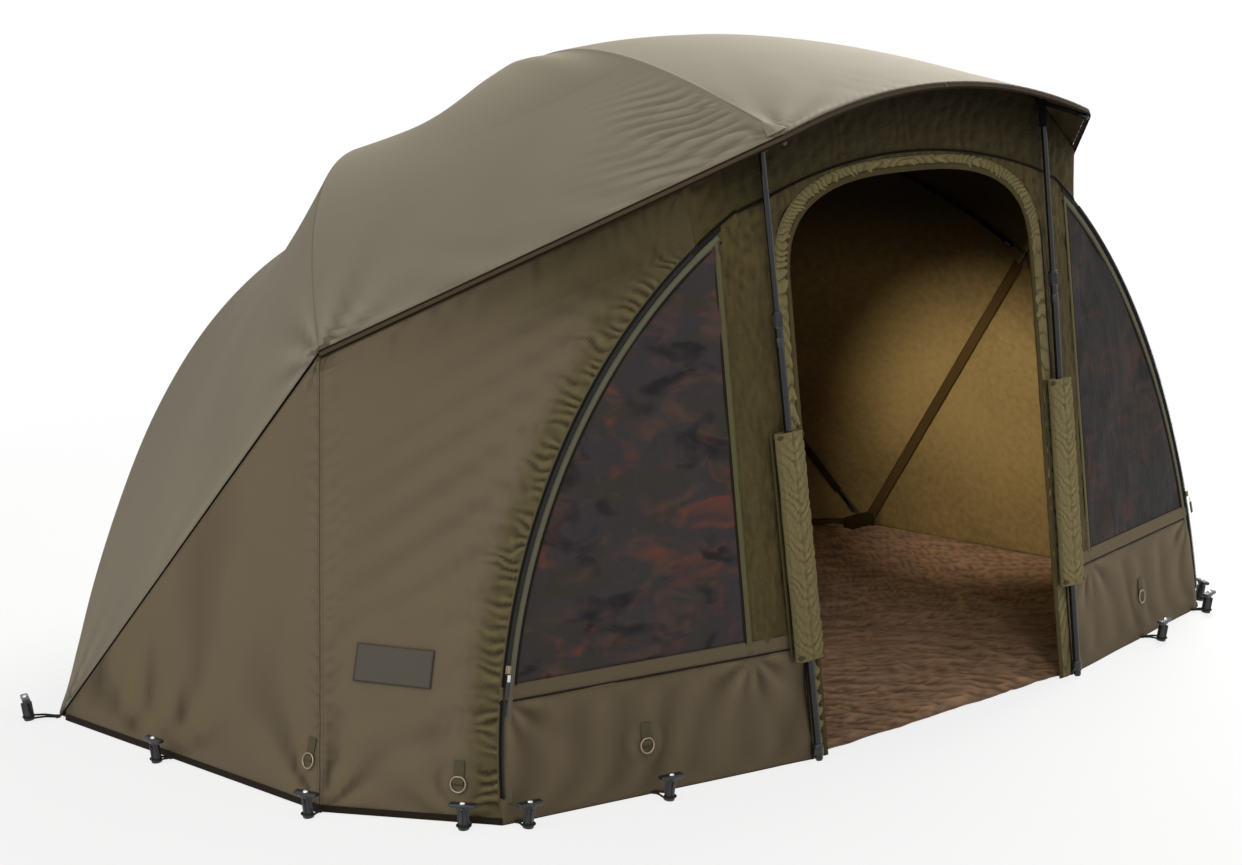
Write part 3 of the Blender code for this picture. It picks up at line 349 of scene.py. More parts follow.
    def wall(self, u: float, w: float) -> Vector:
        """Point on the right wall.

        Args:
            u: 0 at the back corner, 5/11 at the side seam and 1 at the zip.
            w: 0 at the hem and 1 under the roof's edge.

        Returns:
            The point on the cloth.
        """
        aft = 5.0 / 11.0
        top_seam = self.side.tip - UP * self.rim_gap
        if u <= aft:
            share = mix(0.03, 1.0, u / aft)
            low = mix(self.rear.tip, self.side_foot, share)
            high = mix(self.rear.tip, top_seam, share)
            return mix(low, high, w)
        share = (u - aft) / (1.0 - aft)
        foot = self.wall_edge(0.0)
        low = mix(self.side_foot, foot, share)
        high = mix(top_seam, self.rim_front, share)
        bulge = self.wall_edge(w) - mix(foot, self.rim_front, w)
        return mix(low, high, w) + bulge * share ** 1.5


PITCH = Pitch()


# Shaders

class Val:
    """A shader value that can be used in Python expressions."""

    def __init__(self, shader: "Shader", link: Union[float, Socket]) -> None:
        """Keep the shader and the number or socket."""
        self.shader = shader
        self.link = link

    def _math(self, operation: str, first, second=0.0) -> "Val":
        """Add a Math node on two values."""
        node = self.shader.node("ShaderNodeMath", {"operation": operation}, {0: first, 1: second})
        return Val(self.shader, node.outputs[0])

    def __add__(self, other) -> "Val":
        """Sum."""
        return self._math("ADD", self, other)

    __radd__ = __add__

    def __mul__(self, other) -> "Val":
        """Product."""
        return self._math("MULTIPLY", self, other)

    __rmul__ = __mul__

    def __sub__(self, other) -> "Val":
        """Difference."""
        return self._math("SUBTRACT", self, other)

    def __rsub__(self, other) -> "Val":
        """Difference the other way round."""
        return self._math("SUBTRACT", other, self)

    def sine(self) -> "Val":
        """Sine of the value."""
        return self._math("SINE", self)

    def wave(self, length: float) -> "Val":
        """Sine wave of a length."""
        return (self * (TURN / length)).sine()

    def size(self) -> "Val":
        """Value without its sign."""
        return self._math("ABSOLUTE", self)

    def least(self, other) -> "Val":
        """The smaller of two values."""
        return self._math("MINIMUM", self, other)

    def most(self, other) -> "Val":
        """The larger of two values."""
        return self._math("MAXIMUM", self, other)

    def step(self, low: float, high: float) -> "Val":
        """Smooth step from 0 at low to 1 at high."""
        settings = {"interpolation_type": "SMOOTHSTEP", "clamp": True}
        node = self.shader.node("ShaderNodeMapRange", settings, {0: self, 1: low, 2: high, 3: 0.0, 4: 1.0})
        return Val(self.shader, node.outputs[0])


class Shader:
    """A node material, or the world's nodes, being made."""

    def __init__(self, owner: Union[Material, bpy.types.World]) -> None:
        """Start on a new material or world.

        Args:
            owner: The material or world.
        """
        self.material = owner
        owner.use_nodes = True
        self.tree = owner.node_tree
        self.principled = self.tree.nodes.get("Principled BSDF")
        self.coords = self.node("ShaderNodeTexCoord", {}, {})

    def node(self, kind: str, settings: dict, inputs: dict) -> bpy.types.Node:
        """Add a node.

        Args:
            kind: The node's type.
            settings: Its properties, set first.
            inputs: Values, sockets or expressions for its sockets.

        Returns:
            The node.
        """
        made = self.tree.nodes.new(kind)
        for key, value in settings.items():
            setattr(made, key, value)
        for key, value in inputs.items():
            self.feed(made.inputs[key], value)
        return made

    def feed(self, socket: Socket, value) -> None:
        """Set or link a socket."""
        if isinstance(value, Val):
            value = value.link
        if isinstance(value, Socket):
            self.tree.links.new(value, socket)
        elif isinstance(value, tuple) and len(value) == 3 and socket.type == "RGBA":
            socket.default_value = (*value, 1.0)
        else:
            socket.default_value = value

    def attribute(self, mark: Mark) -> Val:
        """Read one of the cloth's float attributes."""
        node = self.node("ShaderNodeAttribute", {"attribute_name": mark.value}, {})
        return Val(self, node.outputs["Fac"])

    def where(self, on_cloth: bool = False, scale: Sequence[float] = (1.0, 1.0, 1.0),
              turn: float = 0.0) -> Socket:
        """Coordinates of the object, or of the cloth's own map in metres.

        Args:
            on_cloth: Use the UV map.
            scale: Scale along each axis.
            turn: Turn about Z in radians.

        Returns:
            The vector socket.
        """
        source = self.coords.outputs["UV" if on_cloth else "Object"]
        node = self.node("ShaderNodeMapping", {}, {"Vector": source, "Scale": tuple(scale),
                                                   "Rotation": (0.0, 0.0, turn)})
        return node.outputs[0]

    def axis(self, index: int, on_cloth: bool = True) -> Val:
        """One coordinate in metres."""
        split = self.node("ShaderNodeSeparateXYZ", {}, {0: self.where(on_cloth)})
        return Val(self, split.outputs[index])

    def noise(self, scale: float, detail: float = 3.0, rough: float = 0.5, vector=None,
              twist: float = 0.0) -> Val:
        """Noise around 0.5."""
        inputs = {"Vector": vector or self.where(), "Scale": scale, "Detail": detail, "Roughness": rough,
                  "Distortion": twist}
        return Val(self, self.node("ShaderNodeTexNoise", {}, inputs).outputs["Fac"])

    def blend(self, share, low, high, how: str = "MIX") -> Socket:
        """Mix two colours."""
        node = self.node("ShaderNodeMix", {"data_type": "RGBA", "blend_type": how}, {})
        self.feed(node.inputs["Factor"], share)
        colours = [socket for socket in node.inputs if socket.type == "RGBA"]
        self.feed(colours[0], low)
        self.feed(colours[1], high)
        return [socket for socket in node.outputs if socket.type == "RGBA"][0]

    def bump(self, height: Val, distance: float, strength: float = 1.0) -> None:
        """Add a bump on top of what already bends the normal."""
        before = self.principled.inputs["Normal"]
        inputs = {"Height": height, "Distance": distance, "Strength": strength}
        if before.is_linked:
            inputs["Normal"] = before.links[0].from_socket
        node = self.node("ShaderNodeBump", {}, inputs)
        self.tree.links.new(node.outputs[0], before)

    def seen(self) -> Val:
        """1 for rays of the camera, of reflections and through glass, and 0 for light."""
        path = self.node("ShaderNodeLightPath", {}, {}).outputs
        rays = [Val(self, path[name]) for name in ("Is Camera Ray", "Is Glossy Ray", "Is Transmission Ray")]
        return (rays[0] + rays[1] + rays[2]).least(1.0)

    def surface(self, share: Val, first: bpy.types.Node, second: bpy.types.Node) -> None:
        """Show a mix of two shaders."""
        mixer = self.node("ShaderNodeMixShader", {}, {0: share, 1: first.outputs[0], 2: second.outputs[0]})
        output = next(node for node in self.tree.nodes if node.type.startswith("OUTPUT"))
        self.tree.links.new(mixer.outputs[0], output.inputs["Surface"])

    def finish(self, **sockets) -> Material:
        """Set the Principled sockets and return the material."""
        for key, value in sockets.items():
            name = "Specular IOR Level" if key == "shine" else key.replace("_", " ").title()
            self.feed(self.principled.inputs[name], value)
        return self.material


@dataclass(frozen=True)
class Finish:
    """A finish with its name and main colour."""

    name: str
    colour: Colour

    def shader(self) -> Shader:
        """Start the material."""
        return Shader(bpy.data.materials.new(self.name))

    def tint(self, factor: float, colour: Optional[Colour] = None) -> Colour:
        """The main colour, or another one, times a factor."""
        return tuple(min(c * factor, 1.0) for c in colour or self.colour)


@dataclass(frozen=True)
class ClothFinish(Finish):
    """Coated cloth: tone, weave, fine crinkles, stitched seams, painted shade and highlight on its folds
    and puckers, and the shade mark's painted shade and dark edge lines.
    """

    roughness: float = 0.80
    tone: float = 0.10
    weave: float = 0.0011
    crinkle: float = 0.0
    crinkle_scale: float = 34.0
    stitch: bool = True
    stitch_long: float = 0.0042
    gather_long: float = 0.026
    # Strength of the painted shade in fold hollows and the painted highlight on fold crests
    folds: float = 0.55
    seam_dark: float = 0.75
    worked: Optional[Colour] = None
    shine: float = 0.16

    def make(self) -> Material:
        """Build the node material."""
        s = self.shader()
        seam, run, pucker, crease, shade, crest = (s.attribute(kind) for kind in Mark)
        across, along = s.axis(0), s.axis(1)
        broad = s.noise(2.3, 2.0)
        mottled = s.noise(23.0, 4.0, 0.6)
        grain = s.noise(900.0, 2.0, 0.6)
        tone = (broad - 0.5) * self.tone + (mottled - 0.5) * self.tone * 0.6 \
            + (grain - 0.5) * self.tone * 0.9
        level = (tone + 0.5).least(1.0).most(0.0)
        base = s.blend(level, self.tint(0.45), self.tint(1.55))
        if self.worked is not None:
            other = s.blend(level, self.tint(0.3, self.worked), self.tint(1.7, self.worked))
            base = s.blend(crease.step(0.15, 0.60), base, other)
        r, g, b = self.worked or self.colour
        # Painted shade in the hollows of folds and painted highlight on their crests, from the crest
        # attribute
        base = s.blend((crest * -self.folds).most(0.0).least(0.9), base, (r * 0.22, g * 0.20, b * 0.14))
        base = s.blend((crest * self.folds).most(0.0).least(0.8), base, (r * 1.75, g * 1.75, b * 1.65))
        # Shade mark: painted shade under the roof's edge, and the dark edge lines of tapes and the label's
        # border
        base = s.blend(shade, base, (r * 0.16, g * 0.13, b * 0.08))
        drift = s.noise(9.0, 2.0) * 9.0
        gather = (run * (TURN / self.gather_long) + drift).sine() * 0.5 + 0.5
        # Painted highlight on the crests of the puckers
        base = s.blend((gather * pucker * 0.22).least(1.0), base, self.tint(1.7))
        line = 1.0 - (seam - 0.0062).size().step(0.0006, 0.0016)
        valley = 1.0 - seam.step(0.0004, 0.0022)
        thread = (run.wave(self.stitch_long) * 0.5 + 0.5).step(0.25, 0.55)
        stitched = line * thread if self.stitch else line * 0.0
        base = s.blend(((valley + stitched * 0.6) * self.seam_dark).least(1.0), base, self.tint(0.22))
        weave = (across.wave(self.weave) + along.wave(self.weave)) * 0.25 + 0.5
        ridge = (1.0 - seam.step(0.005, 0.010)) - valley * 0.8 - stitched * 0.35
        s.bump(ridge * self.seam_dark, 0.0012, 0.7)
        s.bump(gather * pucker, 0.0050, 0.8)
        dents = s.noise(self.crinkle_scale, 4.0, 0.62, twist=0.7)
        fine = s.noise(self.crinkle_scale * 3.1, 3.0, 0.6, twist=0.4)
        folds = dents * 0.65 + fine * 0.35
        s.bump(folds * (crease + self.crinkle), 0.0055, 0.7)
        s.bump(weave * 0.6 + grain * 0.4, 0.00012, 0.5)
        rough = self.roughness + (mottled - 0.5) * 0.12 + valley * 0.15
        return s.finish(base_color=base, roughness=rough.least(1.0), metallic=0.0, shine=self.shine)


@dataclass(frozen=True)
class LinerFinish(Finish):
    """Inner face of the cloth: a warm tan that stands in part for light coming through the cloth, and
    painted shade that darkens it under the peak.
    """

    roughness: float = 0.8

    def make(self) -> Material:
        """Build the node material."""
        s = self.shader()
        seam = s.attribute(Mark.SEAM)
        broad = s.noise(1.7, 2.0)
        fine = s.noise(60.0, 3.0)
        base = s.blend((broad * 0.7 + fine * 0.3).step(0.25, 0.75), self.tint(0.6), self.tint(1.35))
        tape = 1.0 - seam.step(0.008, 0.0095)
        base = s.blend(tape * 0.8, base, self.tint(0.35))
        # Painted shade: darker towards the top, under the peak
        base = s.blend(s.axis(2, False).step(0.70, 0.95) * 0.90, base, self.tint(0.04))
        s.bump(fine * 0.5 + tape, 0.0010, 0.4)
        return s.finish(base_color=base, roughness=self.roughness, shine=0.15)


@dataclass(frozen=True)
class BlotchFinish(Finish):
    """Fine window mesh over a soft blotched sheet, with a painted sheen on its creases and painted shade
    from the shade mark.
    """

    blotches: tuple[tuple[Colour, float, float, float], ...]
    hole: float = 0.0016

    def make(self) -> Material:
        """Build the node material."""
        s = self.shader()
        crease = s.attribute(Mark.CREASE)
        across, along = s.axis(0, False), s.axis(2, False)
        base = self.colour
        for number, (colour, scale, low, high) in enumerate(self.blotches):
            where = s.where(False, (1.0, 1.0, 1.9), 0.12 * number)
            patch = s.noise(scale, 2.2, 0.55, where, 0.9)
            shifted = s.noise(scale * 0.43, 1.0, 0.5, s.where(False, (1.0, 1.0, 1.0), 1.1 + number))
            base = s.blend((patch * 0.7 + shifted * 0.3).step(low, high), base, colour)
        streak = s.noise(7.0, 3.0, 0.6, s.where(False, (2.6, 2.6, 0.8)), 0.5)
        # Painted sheen: light grey streaks along the creases
        painted_crease_sheen = streak.step(0.50, 0.72) * crease
        base = s.blend((painted_crease_sheen * 0.20).least(0.6), base, (0.090, 0.080, 0.082))
        grid = across.wave(self.hole) * along.wave(self.hole) * 0.5 + 0.5
        base = s.blend(grid * 0.30, base, (0.020, 0.017, 0.019))
        # Painted shade from the shade mark, strong on the right window
        base = s.blend(s.attribute(Mark.SHADE), base, (0.010, 0.009, 0.008))
        s.bump(streak * crease, 0.010, 0.5)
        s.bump(grid, 0.0002, 0.4)
        return s.finish(base_color=base, roughness=0.62 + (grid - 0.5) * 0.2, shine=0.10)


@dataclass(frozen=True)
class HardFinish(Finish):
    """Metal or moulded plastic with fine wear."""

    roughness: float
    metallic: float = 0.0
    coat: float = 0.0
    wear: float = 0.15
    grain: float = 260.0
    brushed: bool = False

    def make(self) -> Material:
        """Build the node material."""
        s = self.shader()
        stretch = s.where(False, (1.0, 1.0, 0.06)) if self.brushed else s.where()
        grain = s.noise(self.grain, 3.0, 0.6, stretch)
        smears = s.noise(14.0, 3.0, 0.55)
        dust = (smears * 0.6 + grain * 0.4).step(0.52, 0.78)
        lighter = tuple(min(c * 1.8 + 0.02, 1.0) for c in self.colour)
        base = s.blend(dust * self.wear, self.colour, lighter)
        s.bump(grain, 0.00020, 0.4)
        rough = self.roughness + (smears - 0.5) * 0.16 + (grain - 0.5) * 0.08
        return s.finish(base_color=base, roughness=rough.most(0.05).least(1.0), metallic=self.metallic,
                        coat_weight=self.coat)


@dataclass(frozen=True)
class WebFinish(Finish):
    """Woven webbing or zip tape with a herringbone."""

    pitch: float = 0.0022

    def make(self) -> Material:
        """Build the node material."""
        s = self.shader()
        across, along = s.axis(0), s.axis(1)
        chevron = (along + across.size()).wave(self.pitch) * 0.5 + 0.5
        tone = s.noise(120.0, 3.0)
        base = s.blend(chevron * 0.5 + tone * 0.4, self.tint(0.6), self.tint(1.3))
        s.bump(chevron * 0.7 + tone * 0.3, 0.0004, 0.6)
        return s.finish(base_color=base, roughness=0.78, shine=0.2)


@dataclass(frozen=True)
class FloorFinish(Finish):
    """Pale floor that is plain white where only the camera sees it."""

    glow: float = 0.80
    near: float = 2.2
    far: float = 14.0

    def make(self) -> Material:
        """Build the node material."""
        s = self.shader()
        s.finish(base_color=s.blend(s.noise(3.0, 2.0), self.colour, self.tint(1.05)), roughness=0.9)
        glow = s.node("ShaderNodeEmission", {}, {"Color": (1.0, 1.0, 1.0), "Strength": 1.0})
        x, y = s.axis(0, False), s.axis(1, False)
        far = (x * x + y * y).step(self.near, self.far)
        s.surface(s.seen() * (self.glow + far * (1.0 - self.glow)), s.principled, glow)
        return s.material


BLOTCHES = (((0.060, 0.053, 0.040), 7.0, 0.47, 0.64), ((0.115, 0.072, 0.056), 9.5, 0.50, 0.66),
            ((0.185, 0.070, 0.050), 8.0, 0.535, 0.69), ((0.026, 0.022, 0.024), 9.0, 0.53, 0.68))


class Look(Enum):
    """Every finish of the shelter."""

    ROOF = ClothFinish("roof_cloth", (0.262, 0.229, 0.168), crinkle=0.03, tone=0.07, folds=0.30,
                       seam_dark=0.30, stitch=False)
    WALL = ClothFinish("wall_cloth", (0.186, 0.145, 0.092), crinkle=0.05, folds=0.70,
                       worked=(0.122, 0.098, 0.047))
    SKIRT = ClothFinish("skirt_cloth", (0.156, 0.120, 0.074), crinkle=0.10)
    OLIVE = ClothFinish("olive_cloth", (0.086, 0.066, 0.025), crinkle=1.20, tone=0.80, folds=0.80)
    BINDING = ClothFinish("binding_tape", (0.172, 0.165, 0.112), crinkle=0.12, weave=0.0016)
    JAMB = ClothFinish("jamb_tape", (0.140, 0.125, 0.058), crinkle=0.15, weave=0.0016)
    EDGE = ClothFinish("dark_edging", (0.016, 0.011, 0.006), crinkle=0.0, stitch=False)
    SLEEVE = ClothFinish("sleeve_cloth", (0.195, 0.160, 0.074), crinkle=0.30, tone=0.20, folds=0.65)
    RIM = ClothFinish("rim_tape", (0.080, 0.055, 0.030), crinkle=0.05, stitch=False, folds=0.2)
    LINER = LinerFinish("inner_face", (0.270, 0.180, 0.064))
    INNER = ClothFinish("inner_tape", (0.080, 0.044, 0.012), crinkle=0.10, folds=0.4)
    GROUND = ClothFinish("groundsheet_cloth", (0.310, 0.185, 0.112), 0.50, crinkle=0.75,
                         crinkle_scale=16.0, tone=0.30, folds=0.65, shine=0.35)
    WINDOW = BlotchFinish("window_mesh", (0.064, 0.053, 0.056), BLOTCHES)
    ZIP_TAPE = WebFinish("zip_tape", (0.010, 0.009, 0.007))
    ZIP_COIL = HardFinish("zip_coil", (0.016, 0.015, 0.013), 0.35, coat=0.2)
    WEBBING = WebFinish("webbing", (0.120, 0.100, 0.058))
    PATCH = ClothFinish("bare_patch", (0.110, 0.098, 0.078), 0.6, crinkle=0.05, weave=0.0018)
    TUBE = HardFinish("dark_alloy", (0.012, 0.012, 0.013), 0.26, 0.55, 0.3, brushed=True)
    PLASTIC = HardFinish("black_plastic", (0.010, 0.010, 0.011), 0.42, coat=0.15)
    BRIGHT = HardFinish("bright_metal", (0.62, 0.62, 0.63), 0.22, 1.0)
    BRONZE = HardFinish("aged_ring_metal", (0.30, 0.25, 0.17), 0.38, 1.0)
    ELASTIC = WebFinish("elastic_cord", (0.030, 0.027, 0.020), 0.0030)
    FLOOR = FloorFinish("floor_white", (0.80, 0.80, 0.79))

    @cache
    def material(self) -> Material:
        """Material of the finish, built on its first use."""
        return self.value.make()


# Mesh helpers

def keep(name: str, bm: Mesh, *looks: Look) -> Piece:
    """Turn a bmesh into a smooth object at the origin.

    Args:
        name: The piece's name.
        bm: The mesh, which is freed.
        looks: Its finishes in slot order.

    Returns:
        The object.
    """
    data = bpy.data.meshes.new(name)
    bm.to_mesh(data)
    bm.free()
    made = bpy.data.objects.new(name, data)
    bpy.context.scene.collection.objects.link(made)
    for look in looks:
        data.materials.append(look.material())
    data.shade_smooth()
    return made


def thicken(made: Piece, thickness: float, inner: bool = False) -> Piece:
    """Give a cloth sheet its thickness, with its inner face in the next material if it has one."""
    shell = made.modifiers.new("cloth", "SOLIDIFY")
    shell.thickness = thickness
    shell.offset = 0.0
    if inner:
        shell.material_offset = 1
    return made


@dataclass
class Patch:
    """One gridded patch of a sheet."""

    columns: Sequence[float]
    rows: Sequence[float]
    place: Place
    relief: Optional[Rule] = None
    cloth_size: tuple[float, float] = (1.0, 1.0)
    marks: dict[Mark, Union[float, Rule]] = field(default_factory=dict)
    outward: Optional[Callable[[Vector], Vector]] = None
    slot: int = 0

    def add(self, bm: Mesh) -> None:
        """Add the patch to a mesh.

        Args:
            bm: The mesh.
        """
        layer = bm.loops.layers.uv.verify()
        marks = {kind: bm.verts.layers.float.get(kind.value) or bm.verts.layers.float.new(kind.value)
                 for kind in Mark}
        nu, nw = len(self.columns) - 1, len(self.rows) - 1
        grid = bmesh.ops.create_grid(bm, x_segments=nu, y_segments=nw, size=0.5)["verts"]
        bm.verts.ensure_lookup_table()
        spots = {}
        for vert in grid:
            i, j = round((vert.co.x + 0.5) * nu), round((vert.co.y + 0.5) * nw)
            u, w = self.columns[i], self.rows[j]
            spots[vert] = (u, w)
            vert.co = self.place(u, w)
            vert[marks[Mark.SEAM]] = 0.05
            for kind, rule in self.marks.items():
                vert[marks[kind]] = rule(u, w, vert.co) if callable(rule) else rule
        faces = {face for vert in grid for face in vert.link_faces}
        for face in faces:
            face.material_index = self.slot
            face.normal_update()
        if self.outward is not None:
            score = sum(face.normal.dot(self.outward(face.calc_center_median())) for face in faces)
            if score < 0.0:
                bmesh.ops.reverse_faces(bm, faces=list(faces))
        for face in faces:
            for loop in face.loops:
                u, w = spots[loop.vert]
                loop[layer].uv = (u * self.cloth_size[0], w * self.cloth_size[1])
        if self.relief is not None:
            for vert in grid:
                vert.normal_update()
            rises = {vert: self.relief(*spots[vert], vert.co) for vert in grid}
            for vert, rise in rises.items():
                near = [rises[side.other_vert(vert)] for side in vert.link_edges]
                edge = (rise - sum(near) / len(near)) / FOLD_EDGE if len(near) > 3 else 0.0
                # Crest: fold height that the cloth shaders paint as shade in hollows and highlight on
                # crests
                crest = rise / FOLD_HEIGHT + edge
                vert[marks[Mark.CREST]] = min(max(crest, -1.0), 1.0)
                vert.co += vert.normal * rise


def even(count: int, low: float = 0.0, high: float = 1.0) -> list[float]:
    """Evenly spaced stops."""
    return [mix(low, high, i / count) for i in range(count + 1)]


def packed(count: int, power: float, low: float = 0.0, high: float = 1.0) -> list[float]:
    """Stops that crowd towards the high end."""
    return [mix(low, high, 1.0 - (1.0 - i / count) ** power) for i in range(count + 1)]


def line_length(points: Sequence[Vector]) -> float:
    """Length of a line of points."""
    return sum((b - a).length for a, b in zip(points, points[1:]))


def resample(points: Sequence[Vector], step: float) -> list[Vector]:
    """Even points along a line of points.

    Args:
        points: The line.
        step: About the distance between the new points.

    Returns:
        The new points.
    """
    total = line_length(points)
    count = max(2, round(total / step))
    made, run, index = [points[0].copy()], 0.0, 0
    for k in range(1, count):
        goal = total * k / count
        while run + (points[index + 1] - points[index]).length < goal:
            run += (points[index + 1] - points[index]).length
            index += 1
        share = (goal - run) / (points[index + 1] - points[index]).length
        made.append(mix(points[index], points[index + 1], share))
    return made + [points[-1].copy()]


@dataclass
class Ribbon:
    """A flat tape laid along a line on the cloth, with puckers along it."""

    line: Sequence[Vector]
    outward: Callable[[Vector], Vector]
    width: float
    lift: float = 0.0012
    thickness: float = 0.0010
    pucker: float = 0.0
    pucker_long: float = 0.018
    crown: float = 0.0006
    step: float = 0.006
    shift: float = 0.0
    steps_across: int = 6
    stitched: bool = True
    piping: float = 0.0

    def fill(self, bm: Mesh, slot: int = 0) -> None:
        """Add the ribbon's face to a mesh.

        Args:
            bm: The mesh.
            slot: The material slot of its faces.
        """
        points = resample(self.line, self.step)
        count = len(points) - 1
        normals = [self.outward(point).normalized() for point in points]
        runs = [(points[min(i + 1, count)] - points[max(i - 1, 0)]).normalized() for i in range(count + 1)]
        across = [normal.cross(run).normalized() for normal, run in zip(normals, runs)]
        length = line_length(points)

        def place(u: float, w: float) -> Vector:
            """Point on the tape."""
            i = round(w * count)
            bend = ripple(points[i].x * 37.0, points[i].y * 37.0, points[i].z * 37.0)
            wave = sin(TURN * w * length / self.pucker_long + 2.5 * bend + u * 0.9)
            rise = self.lift + self.crown * (1.0 - (2.0 * u - 1.0) ** 2) \
                + self.pucker * (0.5 + 0.5 * wave) * (0.6 + 0.4 * bend)
            return points[i] + across[i] * ((u - 0.5) * self.width + self.shift) + normals[i] * rise

        def seam(u: float, w: float, point: Vector) -> float:
            """Distance that puts a stitched line near each edge."""
            inset = min(u, 1.0 - u) * self.width
            return 0.0062 + abs(inset - 0.0030) if self.stitched else 0.05

        def dark(u: float, w: float, point: Vector) -> float:
            """Dark lines along both edges."""
            return 1.0 if min(u, 1.0 - u) * self.width < self.piping else 0.0

        stops = even(self.steps_across)
        if self.piping > 0.0:
            edge = self.piping / self.width
            stops = [0.0, edge * 0.98, edge * 1.02, 0.5, 1.0 - edge * 1.02, 1.0 - edge * 0.98, 1.0]
        marks = {Mark.SEAM: seam, Mark.RUN: lambda u, w, p: w * length, Mark.SHADE: dark}
        Patch(stops, even(count), place, None, (self.width, length), marks, self.outward, slot).add(bm)

    def make(self, name: str, look: Look) -> Piece:
        """Build the ribbon as a piece."""
        bm = bmesh.new()
        self.fill(bm)
        return thicken(keep(name, bm, look), self.thickness)


def join(bm: Mesh, part: Mesh, place: Matrix) -> None:
    """Add a finished mesh to another one at a place, and free it."""
    bmesh.ops.transform(part, matrix=place, verts=part.verts)
    data = bpy.data.meshes.new("part")
    part.to_mesh(data)
    part.free()
    bm.from_mesh(data)
    bpy.data.meshes.remove(data)


def tube_along(bm: Mesh, points: Sequence[Vector], radius: Union[float, Sequence[float]],
               sides: int = 8, closed: bool = False, caps: bool = True) -> None:
    """Add a round bar along a line of points.

    Args:
        bm: The mesh.
        points: The line.
        radius: Its radius, or one for each point.
        sides: Corners of its section.
        closed: Join the last point to the first.
        caps: Close its ends.
    """
    count = len(points)
    reach = list(radius) if hasattr(radius, "__len__") else [radius] * count
    frames, before = [], None
    for i, point in enumerate(points):
        if closed:
            run = (points[(i + 1) % count] - points[i - 1]).normalized()
        else:
            run = (points[min(i + 1, count - 1)] - points[max(i - 1, 0)]).normalized()
        across = (before - run * before.dot(run)).normalized() if before else run.orthogonal().normalized()
        before = across
        frames.append((point, across, run.cross(across)))
    rows = count if closed else count - 1
    part = bmesh.new()
    bmesh.ops.create_grid(part, x_segments=sides, y_segments=rows, size=0.5)
    for vert in part.verts:
        i = round((vert.co.x + 0.5) * sides)
        j = round((vert.co.y + 0.5) * rows) % count
        point, across, up = frames[j]
        angle = TURN * i / sides
        vert.co = point + (across * cos(angle) + up * sin(angle)) * reach[j]
    bmesh.ops.remove_doubles(part, verts=part.verts, dist=0.00001)
    if caps and not closed:
        bmesh.ops.holes_fill(part, edges=[edge for edge in part.edges if edge.is_boundary], sides=sides)
    bmesh.ops.recalc_face_normals(part, faces=part.faces)
    join(bm, part, Matrix.Identity(4))


def turned(bm: Mesh, profile: Sequence[tuple[float, float]], place: Matrix,
           steps: int = 24) -> None:
    """Add a turned shape from radius and height pairs, spun about Z.

    Args:
        bm: The mesh.
        profile: Radius and height pairs.
        place: Where the shape's own axes go.
        steps: Steps of the full turn.
    """
    part = bmesh.new()
    verts = [part.verts.new((radius, 0.0, height)) for radius, height in profile]
    edges = [part.edges.new(pair) for pair in zip(verts, verts[1:])]
    bmesh.ops.spin(part, geom=verts + edges, cent=(0.0, 0.0, 0.0), axis=(0.0, 0.0, 1.0),
                   angle=TURN, steps=steps, use_merge=True)
    bmesh.ops.remove_doubles(part, verts=part.verts, dist=0.00001)
    bmesh.ops.recalc_face_normals(part, faces=part.faces)
    join(bm, part, place)


def block(bm: Mesh, size: Sequence[float], place: Matrix, round_edge: float = 0.0,
          segments: int = 2) -> None:
    """Add a box with rounded edges."""
    part = bmesh.new()
    bmesh.ops.create_cube(part, size=1.0, matrix=Matrix.Diagonal((*size, 1.0)))
    if round_edge > 0.0:
        bmesh.ops.bevel(part, geom=part.edges, offset=round_edge, offset_type="OFFSET", affect="EDGES",
                        segments=segments, profile=0.5, material=-1, clamp_overlap=True)
    join(bm, part, place)


def frame_at(origin: Vector, along: Vector, aim: Vector = UP) -> Matrix:
    """Matrix with Z along a direction and X as near as can be to another."""
    z = along.normalized()
    x = aim - z * aim.dot(z)
    if x.length < 1e-6:
        x = z.orthogonal()
    x.normalize()
    return Matrix.Translation(origin) @ Matrix((x, z.cross(x), z)).transposed().to_4x4()


def moved(place: Matrix, x: float, y: float, z: float) -> Matrix:
    """A place moved along its own axes."""
    return place @ Matrix.Translation((x, y, z))


def settle(made: Piece, body: str, slot: str, *replaced: str) -> None:
    """Attach a piece to the frame.

    Args:
        made: The piece.
        body: The body it rides on.
        slot: The record's material slot; not used.
        replaced: CAD nodes that it stands for.
    """
    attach(made, body)
    if replaced:
        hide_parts(*replaced)
    LOG.info("%s rides on %s", made.name, body)


def sew(made: Piece, slot: str, *replaced: str) -> Piece:
    """Attach sewn cloth to the shelter.

    Args:
        made: The piece.
        slot: The record's material slot.
        replaced: CAD nodes that it stands for.

    Returns:
        The piece.
    """
    settle(made, "shelter", slot, *replaced)
    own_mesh(made)
    return made


